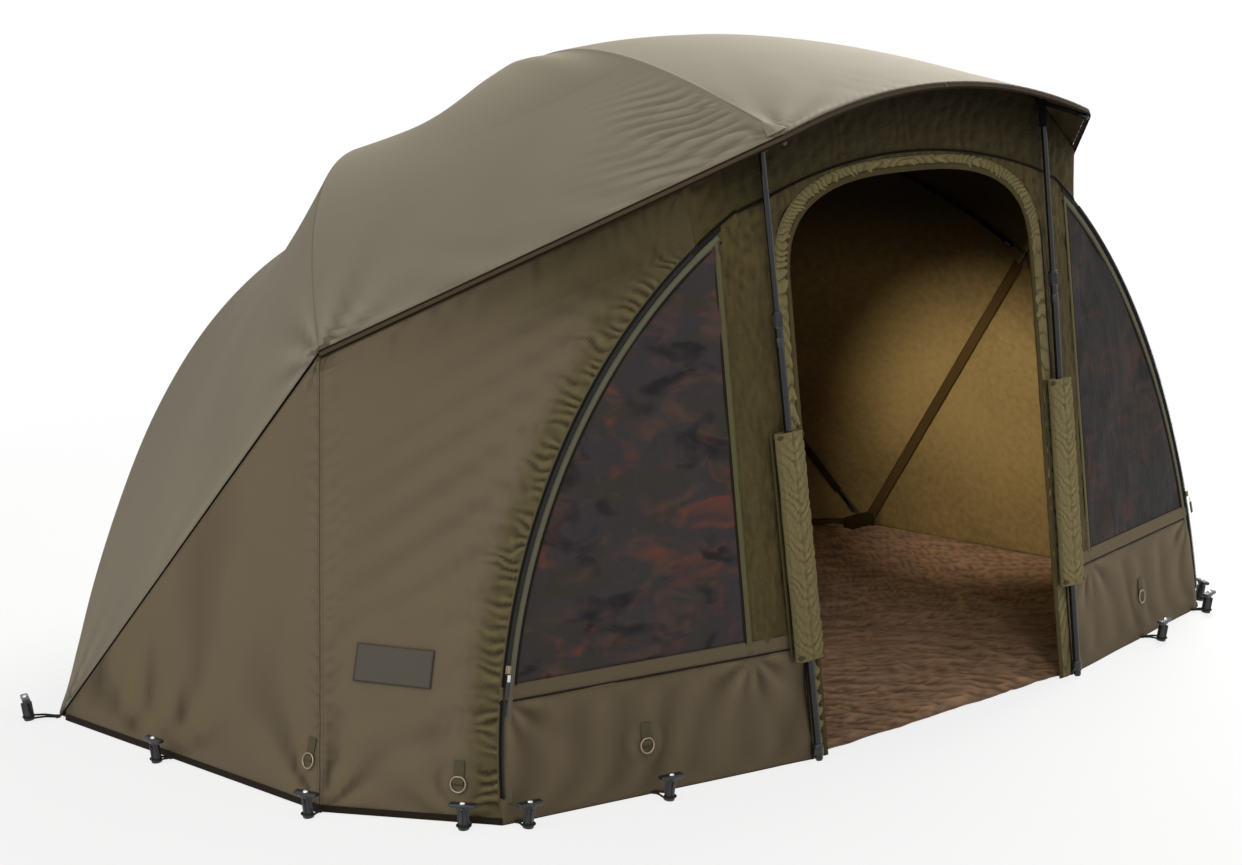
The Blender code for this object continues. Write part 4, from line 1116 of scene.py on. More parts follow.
@dataclass
class Face:
    """A cloth surface with two coordinates, on which small pieces are laid out in metres."""

    place: Place
    outward: Vector
    step: float = 0.002

    def normal(self, u: float, w: float) -> Vector:
        """Outward direction at a place."""
        run = self.place(u + self.step, w) - self.place(u - self.step, w)
        rise = self.place(u, w + self.step) - self.place(u, w - self.step)
        made = run.cross(rise).normalized()
        return made if made.dot(self.outward) > 0.0 else -made

    def frame(self, u: float, w: float, proud: float = 0.0) -> Matrix:
        """Frame at a place: X out of the cloth and Z up along it."""
        normal = self.normal(u, w)
        up = UP - normal * normal.z
        return frame_at(self.place(u, w) + normal * proud, up, normal)

    def at(self, u: float, w: float, aside: float, up: float) -> tuple[float, float]:
        """Coordinates of a spot a distance aside and up from a place.

        Args:
            u: The place's first coordinate.
            w: Its second coordinate.
            aside: Distance along the frame's Y.
            up: Distance along the frame's Z.

        Returns:
            The two coordinates of the spot.
        """
        frame = self.frame(u, w)
        goal = frame @ Vector((0.0, aside, up))
        for _ in range(4):
            here = self.place(u, w)
            run = (self.place(u + self.step, w) - here) / self.step
            rise = (self.place(u, w + self.step) - here) / self.step
            miss = goal - here
            a, b, c = run.dot(run), run.dot(rise), rise.dot(rise)
            d, e = miss.dot(run), miss.dot(rise)
            low = a * c - b * b
            u += (d * c - e * b) / low
            w += (e * a - d * b) / low
        return u, w


# Cloth pieces

@dataclass
class Roof:
    """Roof with its back wall in one sheet over the ribs, with its bindings and rib pockets."""

    hole: float = 0.0095
    thickness: float = 0.0016
    sub_columns: int = 30
    rows: int = 120
    fold_long: float = 0.085
    fold_run: tuple[float, float, float] = (1.0, 0.3, -0.2)
    binding_wide: float = 0.015
    pocket_long: float = 0.052

    def place(self, u: float, w: float) -> Vector:
        """Point of the whole roof: u from -4 at the back, round the left, front and right, to 4."""
        point = mirrored(PITCH.roof(mix(self.hole, 1.0, w), abs(u)), copysign(1.0, u))
        point.z = max(point.z, LOWEST)
        return point

    def lines(self) -> list[float]:
        """Column stops, closer together near the seams."""
        stops = [(1.0 - cos(pi * k / self.sub_columns)) / 2.0 for k in range(self.sub_columns)]
        right = [index + stop for index in range(4) for stop in stops] + [4.0]
        return [-u for u in reversed(right[1:])] + right

    def to_edge(self, u: float, w: float, point: Vector) -> float:
        """Distance from the roof's free edge."""
        return (self.place(u, 1.0) - point).length

    def to_seam(self, u: float, w: float, point: Vector) -> float:
        """Distance from the nearest seam."""
        seam = min(max(round(abs(u)), 1), 4)
        sign = copysign(1.0, u)
        if seam == 4:
            return min(abs(point.x) + 0.05, (self.place(3.0 * sign, w) - point).length)
        return (self.place(seam * sign, w) - point).length

    def relief(self, u: float, w: float, point: Vector) -> float:
        """Folds: a swell beside the front seam, creases by each rib tip and soft hollows."""
        a, sign = abs(u), copysign(1.0, u)
        across = a - int(a)
        middle = 4.0 * across * (1.0 - across)
        edge = self.to_edge(u, w, point)
        seam = self.to_seam(u, w, point)
        rise = 0.024 * smooth(1.0, 1.14, a) * smooth(1.75, 1.25, a) * sin(pi * min(w / 0.66, 1.0))
        for tip in (1, 2, 3):
            spot = self.place(tip * sign, 1.0)
            reach = (point - spot).length
            bearing = atan2(edge, max(seam, 0.0001))
            fade = exp(-reach / (0.16 if tip == 1 and a < 1.0 else 0.10)) * smooth(0.02, 0.07, reach)
            rise += 0.0040 * fade * sin(bearing * 9.0 + tip + 2.2 * ripple(point.x * 7.0, point.y * 7.0))
        if 1.0 < a < 2.0:
            run = (self.place(sign, 1.0) - point).length
            zone = smooth(0.0, 0.05, seam) * exp(-(seam / 0.20) ** 2) * exp(-((run - 0.20) / 0.17) ** 2)
            rise += 0.0036 * zone * sin(TURN * (w * 1.30 / 0.034 + seam * 3.2
                                                + 0.9 * ripple(seam * 9.0, w * 7.0, 1.0)))
        if a < 3.0:
            rise += 0.0024 * middle * ripple(point.x * 3.0 + 7.0, point.y * 6.0, point.z * 3.0)
            rise += 0.0010 * exp(-edge / 0.08) * middle \
                * sin(TURN * point.dot(self.fold_run) / self.fold_long + 6.0 * ripple(a * 3.0, w))
        else:
            rise += 0.0050 * ripple(point.x * 4.0, point.z * 4.0, 2.0) * middle
            rise += 0.0020 * exp(-point.z / 0.22) \
                * sin(point.x * 33.0 + 5.0 * ripple(point.x * 3.0, point.z))
        return rise * smooth(0.0, 0.010, edge)

    def edge_line(self, low: float, high: float, count: int = 160) -> list[Vector]:
        """Points along the roof's free edge between two columns."""
        return [self.place(u, 1.0) for u in even(count, low, high)]

    def build(self) -> None:
        """Build the roof, its bindings, its middle seams and the pockets at the rib tips."""
        bm = bmesh.new()
        marks = {
            Mark.SEAM: self.to_seam,
            Mark.RUN: lambda u, w, p: w * 1.6 if self.to_edge(u, w, p) > self.to_seam(u, w, p)
            else p.x * 1.2 - p.y,
            Mark.PUCKER: lambda u, w, p: 0.12 * exp(-self.to_seam(u, w, p) / 0.012)
            + (0.22 * exp(-self.to_edge(u, w, p) / 0.020) if abs(u) < 3.0 else 0.0),
            Mark.CREASE: lambda u, w, p: 0.25 * exp(-self.to_edge(u, w, p) / 0.10),
        }
        Patch(self.lines(), even(self.rows), self.place, self.relief, (0.55, 1.5), marks,
              lambda p: p - Vector((0.0, 0.1, 0.2))).add(bm)
        bmesh.ops.remove_doubles(bm, verts=[v for v in bm.verts if v.is_boundary], dist=0.00005)
        for vert in bm.verts:
            vert.co.z = max(vert.co.z, LOWEST)
        sheet = thicken(keep("roof_sheet", bm, Look.ROOF, Look.LINER), self.thickness, True)
        sew(sheet, "canopy_cloth", "canopy")
        trims = [self.binding(), self.piping(), self.inner_tapes(), self.reinforcement()]

    def binding(self) -> Piece:
        """Binding that hangs from the free edge: a lighter band between two dark lines."""
        bm = bmesh.new()
        for side in (-1.0, 1.0):
            line = [point + self.rim_face(point) * 0.0040 - UP * (self.binding_wide * 0.42)
                    for point in self.edge_line(0.0, 2.0 * side, 420)]
            Ribbon(line, self.rim_face, self.binding_wide, lift=0.0006, piping=0.0042,
                   pucker=0.0006, pucker_long=0.027, crown=0.0010, step=0.0065).fill(bm)
        return sew(thicken(keep("roof_rim_binding", bm, Look.RIM), 0.0012), "canopy_cloth")

    def rim_face(self, point: Vector) -> Vector:
        """Outward direction of the hanging binding at a point."""
        front, flank = Vector((0.0, -0.92, 0.38)), Vector((0.66, -0.66, 0.36))
        out = mix(front, flank, smooth(0.42, 0.53, abs(point.x)))
        return mirrored(out, copysign(1.0, point.x))

    def piping(self) -> Piece:
        """Thin dark line where the side walls' rear panels are sewn to the roof."""
        bm = bmesh.new()
        for side in (-1.0, 1.0):
            proud = Vector((side * 0.0016, -0.0012, 0.0))
            line = [point + proud for point in self.edge_line(1.99 * side, 2.99 * side, 90)]
            tube_along(bm, line, 0.0017, 6)
        return sew(keep("roof_seam_piping", bm, Look.EDGE), "canopy_cloth")

    def inner_tapes(self) -> Piece:
        """Brown tapes over the same seams on the inside, and a rolled hem along the ground."""
        bm = bmesh.new()
        for side in (-1.0, 1.0):
            inward = Vector((-side * 0.93, -0.10, -0.35)).normalized()
            line = [point + inward * 0.0075 for point in self.edge_line(2.03 * side, 2.97 * side, 90)]
            Ribbon(line, lambda p, inward=inward: inward, 0.026, lift=0.0010, pucker=0.0012,
                   pucker_long=0.050, crown=0.0022, step=0.010).fill(bm)
            back = [self.place(side * u, 0.985) for u in even(90, 3.03, 4.0)]
            line = [Vector((p.x - side * 0.010, p.y - 0.012, 0.016 + 0.003 * ripple(p.x * 9.0, p.y * 3.0)))
                    for p in back]
            Ribbon(line, lambda p: Vector((0.0, -0.8, 0.6)), 0.020, lift=0.0010, pucker=0.0020,
                   pucker_long=0.060, crown=0.0030, step=0.010).fill(bm)
            block(bm, (0.100, 0.036, 0.040), Matrix.Translation((side * 1.225, 0.456, 0.021)), 0.012, 4)
        return sew(thicken(keep("inner_seam_tapes", bm, Look.INNER), 0.0010), "canopy_cloth")

    def reinforcement(self) -> Piece:
        """Small stitched triangles that hold the front rib ends."""
        def seam(u: float, w: float, point: Vector) -> float:
            """Distance that stitches the triangle's edges."""
            return 0.0062 + abs(min(min(u, 1.0 - u) * 0.05, min(w, 1.0 - w) * 0.05) - 0.003)

        bm = bmesh.new()
        for side in (-1.0, 1.0):
            out = Vector((side * 0.5, 0.0, 1.0))
            face = Face(self.place, out, 0.004)

            def place(u: float, w: float) -> Vector:
                """Point on the triangle."""
                aside = (u - 0.5) * 2.0 * mix(0.024, 0.002, w)
                column = side * (1.0 + aside / (0.55 if aside < 0.0 else 0.95))
                share = 1.0 - (0.012 + w * self.pocket_long) / 1.45
                return self.place(column, share) + face.normal(column + 0.001, share) * 0.0030

            marks = {Mark.SEAM: seam, Mark.RUN: lambda u, w, p: (u + w) * 0.05}
            Patch(even(14), even(14), place, None, (0.06, 0.05), marks, lambda p: out).add(bm)
        return sew(thicken(keep("rib_end_pockets", bm, Look.ROOF), 0.0009), "canopy_cloth")


@dataclass
class SideWall:
    """One side wall: back panel and front panel with a seam between, gathered along the zip."""

    word: str
    side: float
    thickness: float = 0.0016
    columns: int = 74
    rows: int = 300
    gather_long: float = 0.0205
    seam_at: float = 5.0 / 11.0

    def __post_init__(self) -> None:
        """Find the places that stay flat under the tabs and the label, and store the zip's line."""
        self.zip_line = kdtree.KDTree(ZIP_STEPS + 1)
        for i in range(ZIP_STEPS + 1):
            self.zip_line.insert(self.place(1.0, i / ZIP_STEPS), i)
        self.zip_line.balance()
        spots = TAB_SPOTS + ((LABEL_SPOT,) if self.side < 0.0 else ())
        self.calm_spots = [self.place(*spot) for spot in spots]

    def place(self, u: float, w: float) -> Vector:
        """Point on the wall."""
        point = mirrored(PITCH.wall(u, w), self.side)
        point.z = max(point.z, LOWEST)
        return point

    def away(self) -> Vector:
        """Direction away from the shelter's inside."""
        return Vector((self.side, -0.45, 0.35)).normalized()

    def stops(self) -> list[float]:
        """Column stops, closer at the seam and crowded near the zip."""
        aft = round(self.columns * 0.30)
        fore = self.columns - aft
        low = [self.seam_at * sin(pi / 2.0 * k / aft) for k in range(aft)]
        high = [mix(self.seam_at, 1.0, 1.0 - (1.0 - k / fore) ** 2.3) for k in range(fore + 1)]
        return low + high

    def to_zip(self, u: float, w: float, point: Vector) -> float:
        """Distance from the zip edge."""
        return self.zip_line.find(point)[2]

    def to_seam(self, u: float, w: float, point: Vector) -> float:
        """Distance from the seam between the panels."""
        return (self.place(self.seam_at, w) - point).length

    def to_hem(self, u: float, w: float, point: Vector) -> float:
        """Distance from the hem."""
        return (self.place(u, 0.0) - point).length

    def to_top(self, u: float, w: float, point: Vector) -> float:
        """Distance from the roof's edge."""
        return (self.place(u, 1.0) - point).length

    def relief(self, u: float, w: float, point: Vector) -> float:
        """Gathers by the zip that run out into folds, and folds from the pegs and the corners."""
        _, step, zip_gap = self.zip_line.find(point)
        hem, top, seam = (rule(u, w, point) for rule in (self.to_hem, self.to_top, self.to_seam))
        run = step / ZIP_STEPS * ZIP_LENGTH
        noisy = ripple(run * 24.0, zip_gap * 20.0, 3.0)
        gather = sin(TURN * run / self.gather_long + 5.2 * noisy)
        share = run / ZIP_LENGTH
        held = smooth(ZIP_END, ZIP_END - 0.012, share) \
            * mix(0.40, 1.0, smooth(ZIP_END, ZIP_END - 0.16, share))
        patchy = (smooth(-0.45, 0.35, ripple(run * 31.0, zip_gap * 14.0, 11.0)) + 0.15) * held
        reach = 0.031 + 0.030 * ripple(run * 21.0, 5.0)
        rise = 0.0040 * exp(-((zip_gap - 0.012) / reach) ** 2) * gather * patchy
        middling = sin(TURN * (run / 0.052 + zip_gap * 2.0) + 4.0 * ripple(run * 9.0, zip_gap * 6.0))
        rise += 0.0026 * exp(-zip_gap / 0.055) * smooth(0.006, 0.045, zip_gap) * middling * held
        rise += 0.0026 * held * exp(-zip_gap / 0.050) * ripple(run * 50.0, zip_gap * 62.0, 7.0)
        long = sin(TURN * (w * ZIP_LENGTH / 0.118 + zip_gap * 2.1) + 2.5 * ripple(w * 3.2, 6.0))
        rise += 0.0024 * exp(-((zip_gap - 0.17) / 0.14) ** 2) * long * smooth(0.0, 0.10, hem)
        rise += 0.0012 * exp(-top / 0.030) * smooth(0.004, 0.02, top) * smooth(0.45, 0.6, u) \
            * sin(TURN * u * 52.0 + 7.0 * ripple(u * 19.0, top * 9.0))
        rise += 0.0036 * ripple(point.x * 4.2, point.y * 5.0, point.z * 3.2) * smooth(0.0, 0.15, hem)
        hem_run = self.place(0.9, 0.0) - self.place(0.1, 0.0)
        for share in (0.18, self.seam_at, 0.87):
            foot = self.place(share, 0.0)
            reach = (point - foot).length
            bearing = atan2(point.z - foot.z, (point - foot).dot(hem_run))
            strong = 0.0016 if share < 0.2 else 0.0036
            rise += strong * exp(-reach / 0.20) * smooth(0.01, 0.09, reach) \
                * sin(bearing * 8.0 + share * 9.0)
        rise += 0.0010 * exp(-seam / 0.015) * smooth(0.0, 0.006, seam) \
            * sin(TURN * run / 0.026 + 5.0 * noisy)
        for spot, reach in zip(self.calm_spots, (0.030, 0.030, 0.085)):
            rise *= smooth(reach * 0.8, reach * 1.7, (point - spot).length)
        return rise * smooth(0.0, 0.008, zip_gap) * smooth(0.0, 0.012, hem) * smooth(0.0, 0.010, top)

    def build(self) -> None:
        """Build the wall with its hem tape."""
        def run(u: float, w: float, point: Vector) -> float:
            """Distance along the nearest seam."""
            near = min(self.to_zip(u, w, point), self.to_seam(u, w, point))
            upright = near < min(self.to_top(u, w, point), self.to_hem(u, w, point))
            return w * ZIP_LENGTH if upright else u * 1.6

        def seam(u: float, w: float, point: Vector) -> float:
            """Distance from the nearest seam or sewn edge."""
            return min(self.to_seam(u, w, point), self.to_hem(u, w, point) + 0.002,
                       self.to_top(u, w, point) + 0.002)

        marks = {
            Mark.SEAM: seam,
            Mark.RUN: run,
            Mark.PUCKER: lambda u, w, p: 0.25 * exp(-self.to_seam(u, w, p) / 0.010)
            + 0.25 * exp(-self.to_top(u, w, p) / 0.020),
            Mark.CREASE: lambda u, w, p: 0.75 * exp(-(self.to_zip(u, w, p) / 0.062) ** 2) + 0.08
            + 0.70 * smooth(0.55, 0.98, u) * smooth(0.72, 1.0, w),
            # Painted shade under the roof's edge, towards the front of the wall
            Mark.SHADE: lambda u, w, p: RIM_SHADE * exp(-self.to_top(u, w, p) / 0.095)
            * smooth(0.35, 0.98, u),
        }
        bm = bmesh.new()
        Patch(self.stops(), even(self.rows), self.place, self.relief, (1.6, ZIP_LENGTH), marks,
              lambda p: self.away()).add(bm)
        for vert in bm.verts:
            vert.co.z = max(vert.co.z, LOWEST)
        name = f"wall_{self.word}"
        sheet = thicken(keep(f"side_{name}", bm, Look.WALL, Look.LINER), self.thickness, True)
        sew(sheet, "wall_cloth", name)
        hem = self.hem()

    def hem(self) -> Piece:
        """Dark hem tape at the ground."""
        face = Face(self.place, self.away())
        line = [self.place(u, 0.0) + UP * 0.007 for u in even(200)]
        tape = Ribbon(line, lambda p: face.normal(0.7, 0.02), 0.012, pucker=0.0005, step=0.008,
                      stitched=False)
        return sew(tape.make(f"hem_tape_{self.word}", Look.EDGE), "wall_cloth")


@dataclass
class FrontWall:
    """Zipped-in front: door gathers, columns, skirts, top band and bindings, in one sheet."""

    thickness: float = 0.0016
    band: float = 0.045
    sill: float = 0.222
    gather_long: float = 0.0245

    def point(self, x: float, z: float, side: float, proud: float = 0.0) -> Vector:
        """Point on the front wall at a height."""
        return PITCH.front_point(x * side, max(z, LOWEST), proud)

    def outline(self, turn: float, grow: float) -> tuple[float, float]:
        """Right half of the door: turn 0 at the top middle, 1 at the arch's foot, 2 at the ground."""
        if turn <= 1.0:
            return PITCH.door(turn, grow)
        x, z = PITCH.door(1.0, grow)
        return x, z * (2.0 - turn)

    def relief(self, side: float) -> Rule:
        """Small crinkles over the whole front, pulled towards the door and the zip."""
        def rise(u: float, w: float, p: Vector) -> float:
            """Height of the cloth at a point."""
            x, z = abs(p.x), p.z
            to_zip = abs(((x - PITCH.zip_centre.x) ** 2 / PITCH.wing_across.x ** 2
                          + (z - PITCH.zip_centre.z) ** 2) ** 0.5 - PITCH.zip_r)
            upper = smooth(self.sill - 0.01, self.sill + 0.03, z)
            made = mix(0.0003, 0.0030, upper) * smooth(0.0, 0.10, z) \
                * ripple(x * 44.0, z * 19.0, side * 3.0)
            made += 0.0016 * upper * ripple(x * 85.0, z * 47.0, side)
            made += 0.0026 * ripple(x * 7.0, z * 6.0, side)
            if z < self.sill:
                for corner in (PITCH.window_x, 1.10):
                    dx, dz = x - corner, self.sill - z
                    reach = (dx * dx + dz * dz) ** 0.5
                    made += 0.0026 * exp(-reach / 0.16) * smooth(0.01, 0.07, reach) \
                        * sin(atan2(dz, dx + 0.0001) * 9.0)
                made += 0.0024 * sin(x * 61.0 + z * 22.0 + 2.0 * ripple(x * 6.0, z * 6.0)) \
                    * smooth(0.0, 0.05, z) * smooth(self.sill, self.sill - 0.05, z)
            calm = smooth(0.022, 0.05, ((x - FRONT_TAB_X) ** 2 + (z - FRONT_TAB_Z) ** 2) ** 0.5)
            return made * smooth(0.0, 0.012, to_zip) * calm
        return rise

    def gathers(self, u: float, w: float, p: Vector) -> float:
        """Pillows of the band round the door between short radial puckers."""
        noisy = ripple(w * 17.0, u * 1.5, p.x)
        pillow = abs(sin(pi * (w * 1.42 / self.gather_long + 1.3 * noisy + 0.4 * u))) ** 0.6
        shape = smooth(0.0, 0.16, u) * smooth(1.0, 0.78, u)
        strong = 0.45 + 0.75 * smooth(-0.4, 0.4, ripple(w * 29.0, 2.0, p.x))
        return 0.0056 * (pillow - 0.6) * strong * shape + 0.0010 * ripple(p.x * 44.0, p.z * 44.0)

    def marks(self, gap: Rule, crease: float, run: float,
              pucker: float = 0.4) -> dict[Mark, Union[float, Rule]]:
        """Attributes of a patch.

        Args:
            gap: Distance from the patch's sewn edges.
            crease: Strength of its crinkles.
            run: Length along its gathers.
            pucker: Strength of its gathers.

        Returns:
            A rule or a number for each attribute.
        """
        return {
            Mark.SEAM: gap,
            Mark.RUN: lambda u, w, p: w * run,
            Mark.CREASE: crease,
            Mark.PUCKER: lambda u, w, p: pucker * exp(-max(gap(u, w, p), 0.0) / 0.012),
        }

    def patches(self, side: float) -> list[Patch]:
        """Patches of one half.

        Args:
            side: 1 for the right half, -1 for the left.

        Returns:
            The patches.
        """
        def arc_x(z: float, radius: float) -> float:
            """Distance from the middle of an arc at a height."""
            return PITCH.zip_point(PITCH.zip_angle(2, z, radius), radius).x

        radius = PITCH.zip_r
        inner = radius - PITCH.window_margin
        wing = PITCH.wing_x
        top_low = self.outline(1.0, self.band)[1]
        outer_x = [arc_x(z, radius) for z in even(26, 0.0, self.sill)]

        def door_band(u: float, w: float) -> Vector:
            """Band round the door, u out from the edge and w down from the top."""
            turn = w / 0.55 if w < 0.55 else 1.0 + (w - 0.55) / 0.45
            x0, z0 = self.outline(turn, 0.0)
            x1, z1 = self.outline(turn, self.band)
            return self.point(mix(x0, x1, u), mix(z0, z1, u), side)

        def column(u: float, w: float) -> Vector:
            """Column between the door and the window."""
            return self.point(mix(wing, PITCH.window_x, u), mix(self.sill, top_low, w), side)

        def skirt(u: float, w: float) -> Vector:
            """Skirt under the window."""
            far = outer_x[round(w * 26)]
            return self.point(mix(wing, far, u), w * self.sill, side)

        def over(u: float, w: float) -> Vector:
            """Band over the door and the column."""
            x = u * PITCH.window_x
            if x < wing:
                turn = solve(lambda t: self.outline(t, self.band)[0] - x, 0.0, 1.0)
                low = self.outline(turn, self.band)[1]
            else:
                low = top_low
            return self.point(x, mix(low, PITCH.top_z(x), w), side)

        low, low_out = (PITCH.zip_angle(2, self.sill, reach) for reach in (inner, radius))
        top, top_out = (PITCH.zip_angle(0, PITCH.window_x, reach) for reach in (inner, radius))

        def arc_band(u: float, w: float) -> Vector:
            """Narrow band between the window and the zip."""
            angle = mix(mix(low, low_out, u), mix(top, top_out, u), w)
            flat = PITCH.zip_point(angle, mix(inner, radius, u))
            return self.point(flat.x, flat.z, side)

        def sill_band(u: float, w: float) -> Vector:
            """Strip between the skirt and the window."""
            z = mix(self.sill, PITCH.window_sill, w)
            return self.point(mix(PITCH.window_x, arc_x(z, inner), u), z, side)

        share = wing / PITCH.window_x
        over_stops = [share * k / 86.0 for k in range(86)] + even(38, share, 1.0)
        rise, out = self.relief(side), lambda p: Vector((0.1 * side, -1.0, 0.1))
        return [
            Patch(even(10), even(380), door_band, self.gathers, (0.045, 1.42), self.marks(
                lambda u, w, p: min(u, 1.0 - u) * self.band, 0.7, 1.42, 0.7), out, 3),
            Patch(even(38), even(210), column, rise, (0.122, 0.69), self.marks(
                lambda u, w, p: min(1.0 - u, u + 0.1) * 0.122, 0.9, 0.69), out, 0),
            Patch(even(80), even(26), skirt, rise, (0.75, 0.222), self.marks(
                lambda u, w, p: min(1.0 - w, w + 0.02) * self.sill, 0.22, 0.22), out, 1),
            Patch(over_stops, even(12), over, rise, (0.552, 0.05), self.marks(
                lambda u, w, p: 0.05, 0.9, 0.05), out, 0),
            Patch(even(6), even(220), arc_band, None, (0.026, 1.0), self.marks(
                lambda u, w, p: 0.05, 0.4, 1.0), out, 0),
            Patch(even(60), even(4), sill_band, None, (0.6, 0.028), self.marks(
                lambda u, w, p: 0.05, 0.2, 0.03), out, 1),
        ]

    def build(self) -> None:
        """Build the front wall and its bindings."""
        bm = bmesh.new()
        for _, side in SIDES:
            for patch in self.patches(side):
                patch.add(bm)
        bmesh.ops.remove_doubles(bm, verts=bm.verts, dist=0.00025)
        looks = (Look.OLIVE, Look.SKIRT, Look.LINER, Look.SLEEVE)
        made = thicken(keep("front_wall", bm, *looks), self.thickness)
        sew(made, "front_cloth", "front_infill")
        trims = [self.trims(), self.piping()]

    def trims(self) -> Piece:
        """Light bindings: beside the zip, round the window, round the door and along the sill."""
        def face(point: Vector) -> Vector:
            """Outward direction of the front."""
            return PITCH.face(point.x)

        bm = bmesh.new()
        line = {"crown": 0.0007, "step": 0.008, "stitched": False}
        jamb, edge = PITCH.window_x + 0.004, PITCH.window_x + 0.013
        for _, side in SIDES:
            def arc(inset: float, low: float, high: float) -> list[Vector]:
                """Line along an arc of the wing, between two angles in degrees."""
                low, high = radians(low), radians(high)
                return [mirrored(PITCH.zip_point(mix(low, high, share), PITCH.zip_r - inset), side)
                        for share in even(160)]

            def straight(x0: float, z0: float, x1: float, z1: float) -> list[Vector]:
                """Line between two spots of the front."""
                return [self.point(mix(x0, x1, share), mix(z0, z1, share), side) for share in even(60)]

            def round_door(start: float, grow: float) -> list[Vector]:
                """Line along the door's outline down to the ground."""
                return [self.point(*self.outline(turn, grow), side) for turn in even(240, start, 2.0)]

            for slot, ribbon in (
                    (0, Ribbon(arc(0.0190, 0.0, 57.9), face, 0.0115, 0.0014, pucker=0.0006, crown=0.0009)),
                    (4, Ribbon(straight(jamb, 0.226, jamb, 1.010), face, 0.012, 0.0016, pucker=0.0005,
                               crown=0.0009)),
                    (1, Ribbon(straight(0.445, 0.236, 1.108, 0.236), face, 0.026, 0.0013, pucker=0.0006,
                               crown=0.0007, step=0.007)),
                    (2, Ribbon(round_door(0.0, 0.006), face, 0.013, 0.0014, pucker=0.0007, crown=0.0010)),
                    (3, Ribbon(round_door(0.88, self.band), face, 0.005, pucker=0.0006, crown=0.0008,
                               stitched=False)),
                    (3, Ribbon(straight(edge, 0.226, edge, 1.005), face, 0.004, **line)),
                    (3, Ribbon(arc(0.0295, 10.4, 58.0), face, 0.004, 0.0010, **line)),
                    (3, Ribbon(straight(0.445, 0.221, 1.112, 0.221), face, 0.004, **line))):
                ribbon.fill(bm, slot)
        looks = (Look.BINDING, Look.SKIRT, Look.OLIVE, Look.EDGE, Look.JAMB)
        return sew(thicken(keep("front_bindings", bm, *looks), 0.0009), "front_cloth")

    def piping(self) -> Piece:
        """Dark piping along the seam over the door, between the zips."""
        bm = bmesh.new()
        end = PITCH.zip_point(PITCH.zip_top).x - 0.004
        line = [PITCH.front_point(x, PITCH.top_z(abs(x)), 0.0022) for x in even(160, -end, end)]
        tube_along(bm, line, 0.0024, 8)
        return sew(keep("seam_piping", bm, Look.EDGE), "front_cloth")


@dataclass
class Header:
    """Band of cloth between the front wall and the roof's front edge."""

    clear: float = 0.0055
    thickness: float = 0.0016
    columns: int = 220
    rows: int = 26

    def build(self) -> None:
        """Build the crinkled band."""
        corner = PITCH.zip_point(PITCH.zip_top).x - 0.001
        end = PITCH.rim_front.x + 0.004
        tops = []
        for k in range(61):
            x = end * k / 60.0
            z = PITCH.door_top
            for _ in range(6):
                z = PITCH.roof_over(x, PITCH.depth(x, z)).z - self.clear
            tops.append(z)

        def top(x: float) -> float:
            """Height of the band's upper edge."""
            spot = min(abs(x) / end * 60.0, 59.999)
            return mix(tops[int(spot)], tops[int(spot) + 1], spot - int(spot))

        def place(u: float, w: float) -> Vector:
            """Point on the band."""
            x = mix(-1.0, 1.0, u) * mix(corner, end, w)
            return PITCH.front_point(x, mix(PITCH.top_z(min(abs(x), corner)), top(x), w))

        def relief(u: float, w: float, p: Vector) -> float:
            """Crinkles hanging from the roof."""
            pull = sin(p.x * 160.0 + 6.0 * ripple(p.x * 14.0, p.z * 10.0))
            crumple = ripple(p.x * 34.0, p.z * 40.0 - p.x * 12.0, 5.0)
            return (0.0007 * pull + 0.0030 * crumple + 0.0022 * ripple(p.x * 8.0, p.z * 9.0)) \
                * smooth(0.0, 0.10, w) * smooth(1.0, 0.92, w) * smooth(0.0, 0.02, min(u, 1.0 - u))

        marks = {Mark.RUN: lambda u, w, p: p.x, Mark.CREASE: 0.9,
                 Mark.SEAM: lambda u, w, p: 0.004 + w * 0.1,
                 # Painted shade under the roof's edge, deepest at the top and lighter towards the ends
                 Mark.SHADE: lambda u, w, p: mix(0.42, 0.95, smooth(0.0, 0.85, w))
                 * mix(0.35, 1.0, smooth(1.0, 0.8, abs(2.0 * u - 1.0))),
                 Mark.PUCKER: lambda u, w, p: 0.3 * exp(-w / 0.15)}
        bm = bmesh.new()
        Patch(even(self.columns), even(self.rows), place, relief, (1.2, 0.12), marks,
              lambda p: Vector((0.0, -1.0, 0.1))).add(bm)
        made = thicken(keep("header_cloth", bm, Look.OLIVE, Look.LINER), self.thickness, True)
        sew(made, "front_cloth", "header_band")


